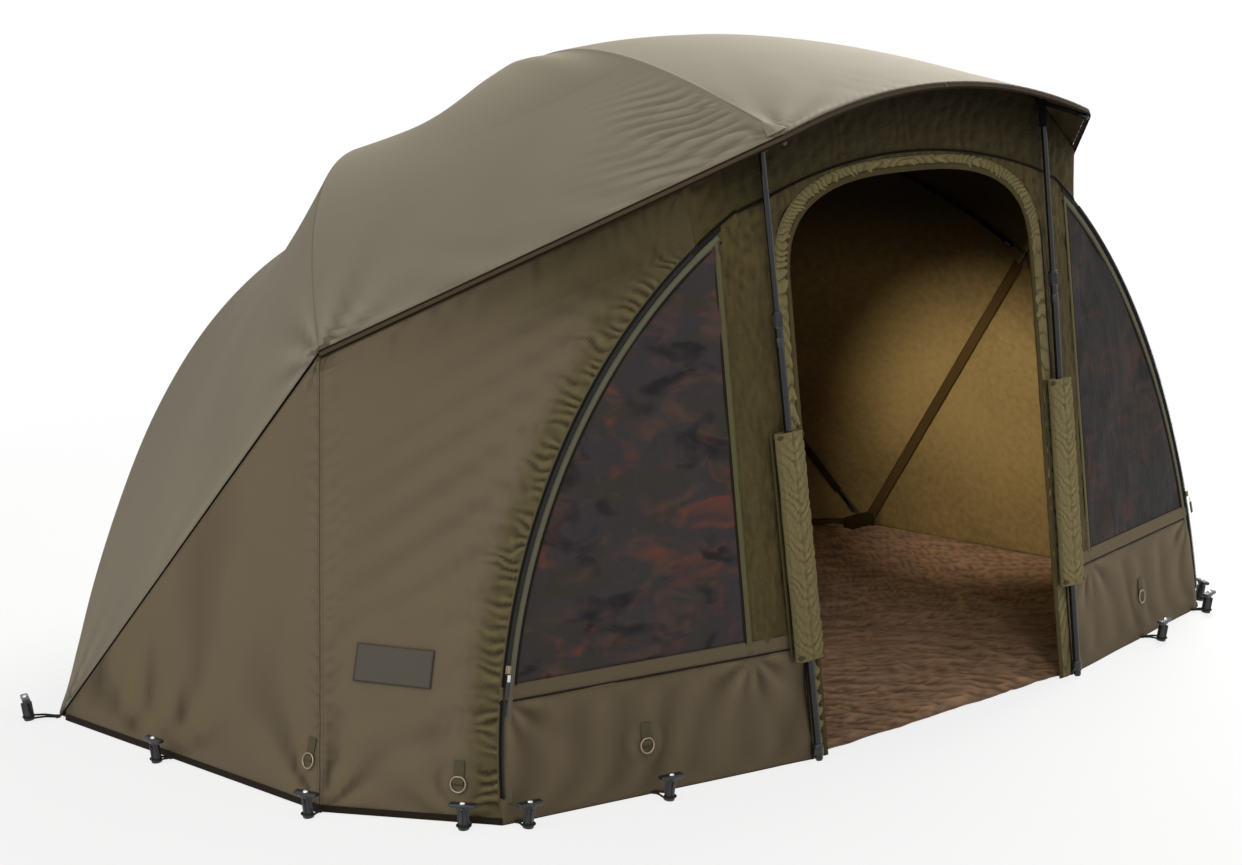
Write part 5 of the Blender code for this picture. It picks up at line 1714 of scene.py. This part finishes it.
@dataclass
class Window:
    """Mesh window between the zip, its inner edge and the sill."""

    word: str
    side: float
    thickness: float = 0.0010
    columns: int = 90
    rows: int = 110
    set_back: float = 0.0008

    def build(self) -> None:
        """Build the blotched mesh sheet."""
        radius = PITCH.zip_r - PITCH.window_margin + 0.002
        inner, sill = PITCH.window_x - 0.002, PITCH.window_sill - 0.002
        low, peak = PITCH.zip_angle(2, sill, radius), PITCH.zip_angle(0, inner, radius)
        arc = [PITCH.zip_point(angle, radius) for angle in even(self.rows, low, peak)]

        def place(u: float, w: float) -> Vector:
            """Point on the window."""
            far = arc[round(w * self.rows)]
            return PITCH.front_point(mix(inner, far.x, u) * self.side, far.z, -self.set_back)

        def relief(u: float, w: float, p: Vector) -> float:
            """Slack of the mesh between its stiff edges."""
            hold = smooth(0.0, 0.06, u) * smooth(1.0, 0.94, u) * smooth(0.0, 0.05, w)
            x, z = abs(p.x), p.z
            slack = 0.0034 * ripple(x * 5.0, z * 4.0, self.side) \
                + 0.0018 * ripple(x * 14.0 + z * 9.0, z * 5.0)
            ridge = 0.0026 * (1.0 - 2.0 * abs(ripple(x * 6.0 - z * 4.0, z * 3.0, 8.0)))
            return (slack + ridge) * hold

        marks = {Mark.CREASE: 0.9, Mark.RUN: lambda u, w, p: p.z,
                 # Painted shade: the right window's sheet is darkened much more than the left's
                 Mark.SHADE: lambda u, w, p: 0.60 if self.side > 0.0 else 0.05}
        bm = bmesh.new()
        Patch(even(self.columns), even(self.rows), place, relief, (0.6, 0.8), marks,
              lambda p: Vector((0.1 * self.side, -1.0, 0.1))).add(bm)
        bmesh.ops.remove_doubles(bm, verts=bm.verts, dist=0.00002)
        made = thicken(keep(f"window_sheet_{self.word}", bm, Look.WINDOW), self.thickness)
        sew(made, "window_mesh", f"window_{self.word}")


def middle_of(node: str) -> Vector:
    """Middle of a CAD node's box."""
    low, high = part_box(node)
    return (Vector(low) + Vector(high)) / 2.0


@dataclass
class Zip:
    """Coil zip along the arc with its tape, slider and puller."""

    word: str
    side: float
    inset: float = 0.0050
    tape_wide: float = 0.013
    tape_end: float = radians(58.6)
    tooth_pitch: float = 0.0034
    start: float = radians(0.6)
    end: float = radians(54.6)
    slider_angle: float = radians(11.9)

    def frame(self, angle: float, proud: float) -> Matrix:
        """Frame at the zip with Z up along it and X proud of the cloth."""
        radius = PITCH.zip_r - self.inset
        point = mirrored(PITCH.zip_point(angle, radius, proud), self.side)
        ahead = mirrored(PITCH.zip_point(angle + 0.001, radius, proud), self.side)
        return frame_at(point, ahead - point, mirrored(PITCH.wing_face, self.side))

    def build(self) -> None:
        """Build the tape, the coil and the slider."""
        line = [mirrored(PITCH.zip_point(angle, PITCH.zip_r - self.inset), self.side)
                for angle in even(240, self.start, self.tape_end)]
        tape = Ribbon(line, lambda p: mirrored(PITCH.wing_face, self.side), self.tape_wide,
                      lift=0.0016, thickness=0.0008, crown=0.0003, step=0.008, steps_across=8,
                      stitched=False)
        sew(tape.make(f"zip_tape_{self.word}", Look.ZIP_TAPE), "zip_tape")
        bm = bmesh.new()
        step = self.tooth_pitch / PITCH.zip_r
        count = int((self.end - self.start) / step)
        for k in range(count):
            place = self.frame(self.start + k * step, 0.0046)
            for row in (-1.0, 1.0):
                lift = 0.0008 if row > 0.0 else -0.0002
                at = moved(place, lift, row * 0.0013, row * self.tooth_pitch * 0.25)
                shape = at @ Matrix.Diagonal((0.0034, 0.0034, 0.0013, 1.0))
                bmesh.ops.create_cube(bm, size=1.0, matrix=shape)
        coil = keep(f"zip_coil_{self.word}", bm, Look.ZIP_COIL)
        coil.data.shade_flat()
        sew(coil, "zip_tape", f"zip_track_{self.word}")
        self.slider()

    def slider(self) -> None:
        """Slider body with its bridge on the slider, and the tab with its grip on the puller."""
        place = self.frame(self.slider_angle, 0.0101)
        bm = bmesh.new()
        block(bm, (0.0022, 0.0110, 0.0155), moved(place, -0.0012, 0.0, 0.0), 0.0010, 3)
        block(bm, (0.0030, 0.0060, 0.0140), moved(place, 0.0008, 0.0, 0.0), 0.0012, 3)
        for edge in (-1.0, 1.0):
            block(bm, (0.0030, 0.0010, 0.0130), moved(place, -0.0004, edge * 0.0050, 0.0), 0.0004)
        body = keep(f"zip_slider_body_{self.word}", bm, Look.BRONZE)
        settle(body, f"zip_slider_{self.word}", "bright_metal", f"zip_slider_{self.word}")
        pivot = moved(place, 0.0045, 0.0, -0.0102)
        bm = bmesh.new()
        block(bm, (0.0012, 0.0062, 0.0150), moved(pivot, 0.0, 0.0, -0.0060), 0.0005)
        tab = keep(f"zip_puller_tab_{self.word}", bm, Look.BRIGHT)
        settle(tab, f"zip_puller_{self.word}", "bright_metal", f"zip_puller_{self.word}")
        bm = bmesh.new()
        block(bm, (0.0030, 0.0088, 0.0270), moved(pivot, 0.0, 0.0, -0.0245), 0.0013, 4)
        for k in range(5):
            block(bm, (0.0034, 0.0078, 0.0014), moved(pivot, 0.0, 0.0, -0.0155 - k * 0.0042), 0.0005)
        grip = keep(f"zip_puller_grip_{self.word}", bm, Look.PLASTIC)
        settle(grip, f"zip_puller_{self.word}", "zip_tape")


@dataclass
class PoleSleeve:
    """Gathered cloth sleeve sewn on the front, round the lower pole."""

    word: str
    side: float
    low: float = 0.200
    high: float = 0.645
    wide: float = 0.072
    deep: float = 0.024

    def build(self) -> None:
        """Build the ruched sleeve as a tube of cloth with chevron folds."""
        foot = PITCH.pole_foot(self.side)
        middle = middle_of(f"pole_sleeve_{self.word}")
        along = (middle - foot).normalized()
        place = frame_at(foot + along * self.low, along, PITCH.door_face)
        tall = self.high - self.low

        def shell(u: float, w: float) -> Vector:
            """Point of the sleeve: u round it and w up it."""
            angle = TURN * u
            c, s = cos(angle), sin(angle)
            power = 2.0 / 2.9
            flat = copysign(abs(s) ** power, s)
            thick = copysign(abs(c) ** power, c)
            swell = 1.0 + 0.05 * ripple(w * 6.0, self.side)
            return place @ Vector((thick * self.deep / 2.0 * (1.0 if c > 0.0 else 0.84),
                                   flat * self.wide / 2.0 * swell, w * tall))

        def relief(u: float, w: float, p: Vector) -> float:
            """Chevron folds that run down into a seam up the middle, flat where the sleeve is sewn on."""
            angle = TURN * u
            aside = abs(sin(angle))
            front = smooth(-0.25, 0.35, cos(angle)) * smooth(0.0, 0.04, w) * smooth(1.0, 0.95, w)
            half = 1.0 if sin(angle) > 0.0 else 2.0
            chevron = w * tall / 0.0235 - 1.5 * aside + 0.8 * ripple(w * 11.0, aside, half)
            strong = 0.5 + 0.7 * smooth(-0.3, 0.4, ripple(w * 19.0, half * 5.0, 2.0))
            groove = 0.0020 * exp(-(aside / 0.09) ** 2) * smooth(-0.2, 0.2, cos(angle))
            return front * (0.0032 * strong * (abs(sin(pi * chevron)) ** 0.8 - 0.6)
                            + 0.0012 * ripple(aside * 6.0, w * 60.0, half)) - groove

        def seam(u: float, w: float, p: Vector) -> float:
            """Distance from the sewn sides."""
            return abs(abs(sin(TURN * u)) - 1.0) * self.wide * 0.5 + 0.004

        marks = {Mark.CREASE: 0.5, Mark.RUN: lambda u, w, p: w * tall,
                 Mark.SEAM: seam, Mark.PUCKER: 0.0}
        bm = bmesh.new()
        Patch(even(56), even(190), shell, relief, (0.13, tall), marks,
              lambda p: p - middle + PITCH.door_face * 0.001).add(bm)
        bmesh.ops.remove_doubles(bm, verts=bm.verts, dist=0.00002)
        made = thicken(keep(f"sleeve_cloth_{self.word}", bm, Look.SLEEVE), 0.0012)
        sew(made, "front_cloth", f"pole_sleeve_{self.word}")
        cuff = self.cuffs(place, tall)

    def cuffs(self, place: Matrix, tall: float) -> Piece:
        """Flat hems at the sleeve's two ends and its sewn margins."""
        bm = bmesh.new()
        for height in (0.008, tall - 0.008):
            block(bm, (self.deep * 0.90, self.wide * 1.01, 0.012),
                  moved(place, 0.0002, 0.0, height), 0.0055, 4)
        for edge in (-1.0, 1.0):
            block(bm, (0.0030, 0.0070, tall), moved(place, -0.0120, edge * self.wide * 0.5, tall / 2.0),
                  0.0012)
        for face in [face for face in bm.faces if abs(face.normal.dot(place.col[2].to_3d())) > 0.9
                     and face.calc_area() > 0.0004]:
            bmesh.ops.delete(bm, geom=[face], context="FACES_ONLY")
        return sew(keep(f"sleeve_hems_{self.word}", bm, Look.SLEEVE), "front_cloth")


@dataclass
class Pole:
    """Storm pole: dark tubes, rings on the lower one and a ribbed twist collar."""

    word: str
    side: float

    def build(self) -> None:
        """Dress the tubes and build the collar and the rings."""
        for part in ("upper", "lower"):
            dress(frame["nodes"][f"pole_{part}_{self.word}"], Look.TUBE)
        foot = PITCH.pole_foot(self.side)
        along = (middle_of(f"pole_collar_{self.word}") - foot).normalized()
        low = foot + along * 0.842
        bm = bmesh.new()
        profile = [(0.0068, 0.0), (0.0092, 0.0004), (0.0096, 0.0030), (0.0088, 0.0042), (0.0088, 0.0292),
                   (0.0096, 0.0304), (0.0094, 0.0334), (0.0068, 0.0338), (0.0068, 0.0)]
        turned(bm, profile, frame_at(low, along), 36)
        for k in range(18):
            turn = Matrix.Rotation(TURN * k / 18.0, 4, "Z")
            block(bm, (0.0016, 0.0016, 0.0240),
                  frame_at(low, along) @ turn @ Matrix.Translation((0.0090, 0.0, 0.0167)), 0.0005, 1)
        collar = keep(f"collar_grip_{self.word}", bm, Look.PLASTIC)
        settle(collar, f"pole_collar_{self.word}", "black_plastic", f"pole_collar_{self.word}")
        bm = bmesh.new()
        profile = [(0.0079, 0.012), (0.0098, 0.012), (0.0104, 0.028), (0.0092, 0.034), (0.0079, 0.034),
                   (0.0079, 0.012)]
        turned(bm, profile, frame_at(foot, along), 28)
        profile = [(0.0079, 0.806), (0.0087, 0.807), (0.0087, 0.826), (0.0079, 0.827), (0.0079, 0.806)]
        turned(bm, profile, frame_at(foot, along), 28)
        rings = keep(f"pole_rings_{self.word}", bm, Look.PLASTIC)
        settle(rings, f"pole_lower_{self.word}", "black_plastic")


def dress(node: Piece, look: Look) -> None:
    """Give a frame node a finer material in every slot."""
    if not node.material_slots:
        node.data.materials.append(look.material())
    for slot in node.material_slots:
        slot.material = look.material()


@dataclass
class Umbrella:
    """Folding frame: the CAD's solids, with tip caps and cloth sleeves on the rear ribs."""

    def build(self) -> None:
        """Dress the frame's nodes and add the rib tip caps and sleeves."""
        for name, node in frame["nodes"].items():
            if name.startswith(("centre_tube", "rib_", "stretcher_")):
                dress(node, Look.TUBE)
            elif name.startswith(("hub_", "runner", "lock_")):
                dress(node, Look.PLASTIC)
        for word, side in SIDES:
            for kind, line, share in (("front", PITCH.front, 1.0), ("side", PITCH.side, 0.975),
                                      ("rear", PITCH.rear, 0.965)):
                end = mirrored(self.centre(line, share), side)
                back = mirrored(self.centre(line, share - 0.02), side)
                bm = bmesh.new()
                profile = [(0.0, 0.0075), (0.0034, 0.0070), (0.0058, 0.0045), (0.0062, 0.0),
                           (0.0062, -0.014), (0.0054, -0.020), (0.0047, -0.020)]
                turned(bm, profile, frame_at(end, end - back), 20)
                cap = keep(f"rib_cap_{kind}_{word}", bm, Look.PLASTIC)
                settle(cap, f"rib_{kind}_{word}", "black_plastic")
            bm = bmesh.new()
            line = [mirrored(self.centre(PITCH.rear, share), side) for share in even(70, 0.30, 0.925)]
            reach = [0.0080 + 0.0007 * ripple(k * 0.37, side) for k in range(71)]
            tube_along(bm, line, reach, 14, caps=False)
            sleeve = thicken(keep(f"rib_sleeve_{word}", bm, Look.INNER), 0.0008)
            settle(sleeve, f"rib_rear_{word}", "canopy_cloth")

    def centre(self, line: RoofLine, share: float, drop: float = 0.014) -> Vector:
        """Centre of a rib under its roof line."""
        point = line.cloth(share)
        ahead = line.cloth(share + 0.002) - line.cloth(share - 0.002)
        across = ahead.cross(line.up).normalized()
        down = across.cross(ahead).normalized()
        down = down if down.z < 0.0 or line is PITCH.rear and down.x < 0.0 else -down
        return point + down * drop


@dataclass
class Groundsheet:
    """Crumpled sheet on the ground out to the hem."""

    inset: float = 0.004
    thickness: float = 0.0012
    around: int = 420
    rings: int = 110

    def outline(self) -> list[Vector]:
        """Closed outline from the back middle, round the right, front and left."""
        back = [PITCH.roof(1.0, 3.0 + i / 12.0) for i in range(13)]
        right = [Vector((0.43, PITCH.front_y, 0.0)), PITCH.front_foot, PITCH.side_foot] + back
        pulled = [point - point.normalized() * self.inset for point in right]
        pulled.insert(0, Vector((0.385, PITCH.front_y + 0.012, 0.0)))
        return pulled + [mirrored(p, -1.0) for p in reversed(pulled[:-1])]

    def build(self) -> None:
        """Build the sheet with its creases and slack rolls."""
        centre = Vector()
        line = self.outline()
        line.append(line[0].copy())
        edge = resample(line, line_length(line) / self.around)
        count = len(edge) - 1

        def place(u: float, w: float) -> Vector:
            """Point on the sheet."""
            spot = mix(centre, edge[round(u * count) % count], mix(0.004, 1.0, w))
            return Vector((spot.x, spot.y, 0.0022))

        def relief(u: float, w: float, p: Vector) -> float:
            """Creases and slack."""
            fade = smooth(1.0, 0.96, w)
            twist = ripple(p.x * 3.0, p.y * 3.0, 9.0)
            near, far = p.x + p.y, p.x - p.y
            long = 1.0 - 2.0 * abs(ripple(far * 2.4 + 2.0 * twist, near * 9.0, 1.0))
            short = 1.0 - 2.0 * abs(ripple(far * 7.0, near * 19.0 + twist * 2.0, 2.0))
            fine = 1.0 - 2.0 * abs(ripple(far * 20.0, near * 38.0, 3.0))
            high = 0.0080 * max(long, 0.0) ** 1.6 + 0.0060 * max(short, 0.0) ** 1.4 + 0.0026 * fine
            return max(high, 0.0) * (0.25 + 0.75 * fade)

        marks = {Mark.CREASE: 0.8, Mark.RUN: lambda u, w, p: u * 7.0, Mark.SEAM: lambda u, w, p: 1.0 - w}
        bm = bmesh.new()
        Patch(even(count), packed(self.rings, 1.15), place, relief, (6.8, 1.0), marks,
              lambda p: UP).add(bm)
        bmesh.ops.remove_doubles(bm, verts=bm.verts, dist=0.00005)
        made = thicken(keep("ground_cloth", bm, Look.GROUND), self.thickness)
        sew(made, "groundsheet_cloth", "groundsheet")


@dataclass
class Peg:
    """Ground peg: tapered stem, T handle with a bright dome and an elastic loop to the hem."""

    name: str
    hem: Vector
    away: Vector
    distance: float
    body: str = "shelter"
    lean: float = radians(9.0)
    loop_wide: float = 0.0125

    def build(self) -> None:
        """Build the peg and its loop."""
        base = self.hem + self.away * self.distance
        base.z = sin(self.lean) * 0.011 + 0.0003
        lean = (UP + self.away * (sin(self.lean) / cos(self.lean))).normalized()
        place = frame_at(base, lean, self.away)
        bm = bmesh.new()
        stem = [(0.0, 0.0), (0.0105, 0.0), (0.0108, 0.004), (0.0080, 0.016), (0.0062, 0.030),
                (0.0060, 0.044), (0.0, 0.044)]
        turned(bm, stem, place, 20)
        for turn in (0.0, pi / 2.0):
            block(bm, (0.0030, 0.0225, 0.0360),
                  moved(place @ Matrix.Rotation(turn, 4, "Z"), 0.0, 0.0, 0.0200), 0.0010)
        block(bm, (0.0165, 0.0510, 0.0078), moved(place, 0.0, 0.0, 0.0460), 0.0036, 4)
        block(bm, (0.0110, 0.0250, 0.0075), moved(place, 0.0, 0.0, 0.0405), 0.0030, 3)
        handle = keep(self.name.replace("peg_", "peg_handle_"), bm, Look.PLASTIC)
        settle(handle, self.body, "black_plastic", self.name)
        bm = bmesh.new()
        dome = [(0.0, 0.0040), (0.0026, 0.0036), (0.0046, 0.0024), (0.0054, 0.0006), (0.0056, 0.0),
                (0.0, 0.0)]
        turned(bm, dome, moved(place, 0.0, 0.0, 0.0495), 20)
        made = keep(self.name.replace("peg_", "peg_dome_"), bm, Look.BRIGHT)
        settle(made, self.body, "black_plastic")
        self.loop(base)

    def loop(self, base: Vector) -> None:
        """Elastic cord from the hem round the stem and back."""
        aside = UP.cross(self.away)
        start = self.hem + self.away * 0.004
        wide, lift = self.loop_wide, UP * 0.006
        leg = [(mix(start, base, k / 12.0), aside * mix(0.0045, wide, k / 12.0)) for k in range(12)]
        points = [middle + out + lift for middle, out in leg]
        for k in range(13):
            angle = pi / 2.0 - pi * k / 12.0
            points.append(base + aside * (wide * sin(angle)) + self.away * (wide * cos(angle)) + lift)
        points += [middle - out + lift for middle, out in reversed(leg)]
        for point in points:
            point.z = 0.0040 + 0.004 * smooth(0.0, 0.03, (point - start).length)
        bm = bmesh.new()
        tube_along(bm, points, 0.0021, 8)
        block(bm, (0.010, 0.016, 0.0045), frame_at(start + UP * 0.0040, UP, self.away), 0.0016)
        made = keep(self.name.replace("peg_", "peg_loop_"), bm, Look.ELASTIC)
        settle(made, self.body, "front_cloth")


@dataclass
class RingTab:
    """Webbing tab with a D-ring, stitched on the cloth."""

    name: str
    face: Face
    spot: tuple[float, float]
    wide: float = 0.020
    high: float = 0.040
    ring_r: float = 0.0145
    wire: float = 0.0018

    def build(self) -> None:
        """Build the stitched tab and its ring."""
        u0, w0 = self.spot

        def place(u: float, w: float) -> Vector:
            """Point on the webbing, folded forward round the ring at its lower end."""
            a, b = self.face.at(u0, w0, (u - 0.5) * self.wide, (w - 0.18) * self.high * 1.1)
            bulge = 0.0030 + 0.0042 * exp(-((w - 0.10) / 0.14) ** 2)
            return self.face.place(a, b) + self.face.normal(a, b) * bulge

        def seam(u: float, w: float, p: Vector) -> float:
            """Stitching round the sewn part."""
            inset = min(min(u, 1.0 - u) * self.wide, (1.0 - w) * self.high, max(w - 0.40, 0.0) * self.high)
            return 0.0062 + abs(inset - 0.0025)

        marks = {Mark.SEAM: seam, Mark.RUN: lambda u, w, p: (u + w) * 0.03}
        bm = bmesh.new()
        Patch(even(10), even(22), place, None, (self.wide, self.high), marks,
              lambda p: self.face.outward).add(bm)
        tab = thicken(keep(self.name.replace("ring_tab", "tab_webbing"), bm, Look.WEBBING), 0.0018)
        sew(tab, "front_cloth", self.name)
        rest = moved(self.face.frame(u0, w0, 0.0056), 0.0, 0.0, -0.0070)
        bm = bmesh.new()
        turns = [pi * (0.12 + 1.76 * k / 27.0) + pi / 2.0 for k in range(28)]
        points = [rest @ Vector((0.0, self.ring_r * cos(turn), self.ring_r * sin(turn))) for turn in turns]
        tube_along(bm, points, self.wire, 10, True)
        sew(keep(self.name.replace("ring_tab", "tab_ring"), bm, Look.BRONZE), "bright_metal")


@dataclass
class LabelPatch:
    """Bare woven patch with a stitched border on the left wall."""

    long: float = 0.157
    high: float = 0.070
    spot: tuple[float, float] = LABEL_SPOT
    proud: float = 0.0040

    def build(self, face: Face) -> None:
        """Build the patch on the wall's curve.

        Args:
            face: The wall.
        """
        u0, w0 = self.spot

        def place(u: float, w: float) -> Vector:
            """Point on the patch."""
            a, b = face.at(u0, w0, (u - 0.5) * self.long, (w - 0.5) * self.high)
            wave = 0.0006 * ripple(u * 4.0, w * 3.0)
            return face.place(a, b) + face.normal(a, b) * (self.proud + wave)

        def inset(u: float, w: float) -> float:
            """Distance from the patch's edge."""
            return min(min(u, 1.0 - u) * self.long, min(w, 1.0 - w) * self.high)

        def seam(u: float, w: float, p: Vector) -> float:
            """Stitched border."""
            return 0.0062 + abs(inset(u, w) - 0.0040)

        marks = {Mark.SEAM: seam, Mark.RUN: lambda u, w, p: u * self.long + w * self.high,
                 Mark.SHADE: lambda u, w, p: 0.6 if inset(u, w) < 0.0015 else 0.0}
        bm = bmesh.new()
        Patch(even(46), even(24), place, None, (self.long, self.high), marks,
              lambda p: face.outward).add(bm)
        made = thicken(keep("bare_label", bm, Look.PATCH), 0.0012)
        sew(made, "label_cloth", "label_patch")


# Stage

@dataclass
class Studio:
    """Camera, lamps, background and floor."""

    location: tuple[float, float, float] = (-4.380, -4.160, 1.605)
    heading: float = 45.50
    down: float = 10.498
    lens: float = 80.2
    soft_light: float = 0.36

    def camera(self) -> None:
        """Create the camera at the photograph's viewing angle."""
        data = bpy.data.cameras.new("camera")
        data.lens = self.lens
        data.sensor_width = 36.0
        data.clip_start, data.clip_end = 0.1, 60.0
        made = bpy.data.objects.new("camera", data)
        made.location = self.location
        made.rotation_euler = Euler((radians(90.0 - self.down), 0.0, radians(-self.heading)))
        bpy.context.scene.collection.objects.link(made)
        bpy.context.scene.camera = made

    def lamp(self, name: str, kind: str, place: Sequence[float], aim: Sequence[float], power: float,
             colour: Colour = (1.0, 1.0, 1.0), **shape: float) -> None:
        """Add a lamp.

        Args:
            name: Its name.
            kind: AREA or SPOT.
            place: Where it stands.
            aim: The point it looks at.
            power: Watts.
            colour: Its colour.
            shape: Its sizes and angles, by their names on the lamp.
        """
        data = bpy.data.lights.new(name, kind)
        data.energy, data.color = power, colour
        for key, value in shape.items():
            setattr(data, key, value)
        made = bpy.data.objects.new(name, data)
        made.location = place
        made.rotation_euler = (Vector(aim) - Vector(place)).to_track_quat("-Z", "Y").to_euler()
        bpy.context.scene.collection.objects.link(made)

    def surroundings(self) -> None:
        """White background for the camera and for reflections, and soft light for the rest."""
        bpy.context.scene.world = bpy.data.worlds.new("studio")
        s = Shader(bpy.context.scene.world)
        soft = s.tree.nodes["Background"]
        s.feed(soft.inputs["Color"], (1.0, 0.99, 0.97))
        s.feed(soft.inputs["Strength"], self.soft_light)
        white = s.node("ShaderNodeBackground", {}, {"Color": (1.0, 1.0, 1.0), "Strength": 1.0})
        s.surface(s.seen(), soft, white)

    def build(self) -> None:
        """Set up the whole stage: surroundings, a floor that keeps the shadow, and lamps."""
        bpy.context.scene.view_settings.view_transform = "Standard"
        self.surroundings()
        bm = bmesh.new()
        bmesh.ops.create_grid(bm, x_segments=4, y_segments=4, size=14.0)
        keep("floor", bm, Look.FLOOR)
        self.lamp("key", "AREA", (3.0, 0.7, 3.4), (0.0, -0.1, 0.8), 255.0, (1.0, 0.985, 0.96), size=2.2)
        self.lamp("left_fill", "AREA", (-4.2, -0.6, 2.2), (0.0, 0.0, 0.3), 34.0, size=2.6)
        self.lamp("front_top", "AREA", (-1.6, -3.2, 4.2), (0.0, -0.8, 0.3), 26.0, size=2.0)
        self.lamp("door_fill", "SPOT", (-0.5, -1.7, 1.5), (0.35, -0.2, 0.0), 15.0, spot_blend=0.6,
                  spot_size=radians(36.0), shadow_soft_size=0.12)
        self.lamp("inner_glow", "SPOT", (-0.10, -0.50, 0.86), (0.985, -0.090, 0.40), 66.0,
                  (1.0, 0.95, 0.84), spot_blend=0.14, spot_size=radians(29.5), shadow_soft_size=0.12)


def peg_spots(side: float) -> dict[str, tuple[Vector, Vector, float]]:
    """Hem point, direction and distance of each peg of one side.

    Args:
        side: 1 for the right, -1 for the left.

    Returns:
        The pegs by kind.
    """
    wing_foot = Vector((PITCH.wing_x, PITCH.front_y, 0.0))
    rear, side_foot, front_foot = PITCH.rear.tip, PITCH.side_foot, PITCH.front_foot
    front_out = Vector((PITCH.wing_rake, -1.0, 0.0)).normalized()
    side_out = (rear - side_foot).cross(UP).normalized()
    corner_out = (side_foot - front_foot).cross(UP).normalized()
    spots = {
        "rear": (rear, side_out + Vector((0.0, 0.5, 0.0)), 0.060),
        "side": (mix(rear, side_foot, 0.460), side_out, 0.035),
        "seam": (side_foot, side_out + corner_out, 0.035),
        "wall": (mix(side_foot, front_foot, 0.820), corner_out, 0.035),
        "corner": (mix(front_foot, wing_foot, 0.045), front_out, 0.035),
        "front": (mix(front_foot, wing_foot, 0.470), front_out, 0.048),
    }
    return {kind: (mirrored(hem, side), mirrored(away.normalized(), side), distance)
            for kind, (hem, away, distance) in spots.items()}


def main() -> None:
    """Build every piece of the shelter in order."""
    logging.basicConfig(level=logging.INFO, format="%(message)s")
    studio = Studio()
    studio.camera()
    Roof().build()
    FrontWall().build()
    Header().build()
    Groundsheet().build()
    Umbrella().build()
    for word, side in SIDES:
        wall = SideWall(word, side)
        wall.build()
        Window(word, side).build()
        Zip(word, side).build()
        Pole(word, side).build()
        PoleSleeve(word, side).build()
        face = Face(wall.place, wall.away())
        front = Face(PITCH.front_point, PITCH.face(side))
        for kind, surface, spot in (("side", face, TAB_SPOTS[0]), ("corner", face, TAB_SPOTS[1]),
                                    ("front", front, (FRONT_TAB_X * side, FRONT_TAB_Z))):
            RingTab(f"ring_tab_{kind}_{word}", surface, spot).build()
        for kind, (hem, away, distance) in peg_spots(side).items():
            Peg(f"peg_{kind}_{word}", hem, away, distance).build()
        if side < 0.0:
            LabelPatch().build(face)
    Peg("peg_back", PITCH.back.tip.copy(), Vector((0.0, 1.0, 0.0)), 0.045).build()
    studio.build()


if __name__ == "__main__":
    main()
